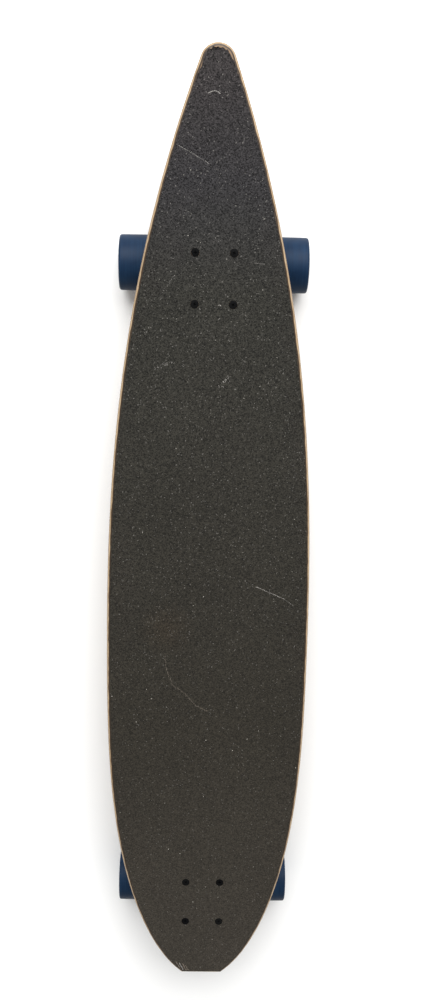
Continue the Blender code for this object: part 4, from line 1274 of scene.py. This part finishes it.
def bearingMesh(shape):
    # races of ground steel with a sunk seal on either face
    width, rim, bore, race, soft = shape["width"], shape["radius"], shape["bore"], shape["race"], 0.0003
    rings = []
    for low, high in ((bore, bore + race), (rim - race, rim)):
        profile = [(low, 0, soft), (high, 0, soft), (high, width, soft), (low, width, soft)]
        rings.append(turnedRing(profile, 56, raceSteel))
    seals = []
    low, high = bore + race - clearance, rim - race + clearance
    middle = (low + high) / 2
    for face, way in ((width - shape["sunk"], -1), (shape["sunk"], 1)):
        back, step = face + way * shape["seal"], face + way * shape["sealStep"]
        profile = [
            (low, back, 0), (low, face, 0), (middle - 0.0011, face, 0.0002), (middle - 0.0008, step, 0.0002),
            (middle + 0.0008, step, 0.0002), (middle + 0.0011, face, 0.0002), (high, face, 0), (high, back, 0),
        ]
        seals.append(turnedRing(profile, 56, shieldBlack))
    return joined(rings), joined(seals)


def wheelProfile(shape):
    half, lip, top, face = shape["width"] / 2, shape["lip"], shape["radius"], shape["face"]
    inner, outer = bearing["inner"] - shape["middle"], bearing["outer"] + bearing["width"] - shape["middle"]
    seat, chamfer = bearing["radius"] + clearance, 0.0004
    low, high = inner + bearing["width"] + clearance, outer - bearing["width"] - clearance
    edge = top - shape["crown"] - lip
    quarter = [math.pi / 2 * step / 8 for step in range(9)]
    points = [(face, half, 0.0012), (top - lip, half, 0)]
    points += [(edge + lip * math.sin(a), half - lip + lip * math.cos(a), 0) for a in quarter[1:]]
    for step in range(1, 12):
        t = step / 6 - 1
        points.append((top - shape["crown"] * t * t, -t * (half - lip), 0))
    points += [(edge + lip * math.cos(a), lip - half - lip * math.sin(a), 0) for a in quarter[:-1]]
    points += [
        (top - lip, -half, 0), (face, -half, 0.0012), (shape["floor"], inner, 0.0012),
        (seat + chamfer, inner, 0.0003), (seat, inner + chamfer, 0), (seat, low, 0),
        (shape["web"], low, 0), (shape["web"], high, 0), (seat, high, 0),
        (seat, outer - chamfer, 0), (seat + chamfer, outer, 0.0003), (shape["floor"], outer, 0.0012),
    ]
    return softCorners(points, True, 4)


def buildWheels(wheel, bearing):
    profile = wheelProfile(wheel)
    races, seals = bearingMesh(bearing)
    for end in ends:
        for side in ("right", "left"):
            name, body = f"{end}{side.capitalize()}", f"{end}_{side}_wheel_set"
            out = axleMatrix(end, side)
            tyre = turned(profile, 128, wheelBlue, out @ Matrix.Translation((0, 0, wheel["middle"])), True)
            put(name + "Wheel", tyre, body, [f"{end}_{side}_wheel"])
            inner = Matrix.Translation((0, 0, bearing["inner"] + bearing["width"]))
            flipped = inner @ Matrix.Rotation(math.pi, 4, "X")
            places = [out @ Matrix.Translation((0, 0, bearing["outer"])), out @ flipped]
            for label, source, finish, nodes in (
                ("Races", races, raceSteel, [f"{end}_{side}_inner_bearing", f"{end}_{side}_outer_bearing"]),
                ("Seals", seals, shieldBlack, ()),
            ):
                copies = [moved(source.copy(), place) for place in places]
                put(name + "Bearing" + label, tidy(joined(copies)), body, nodes, finish)


buildAxles(axle, axleNut)
buildWheels(wheel, bearing)
print("running gear: axles, bearings and wheels")
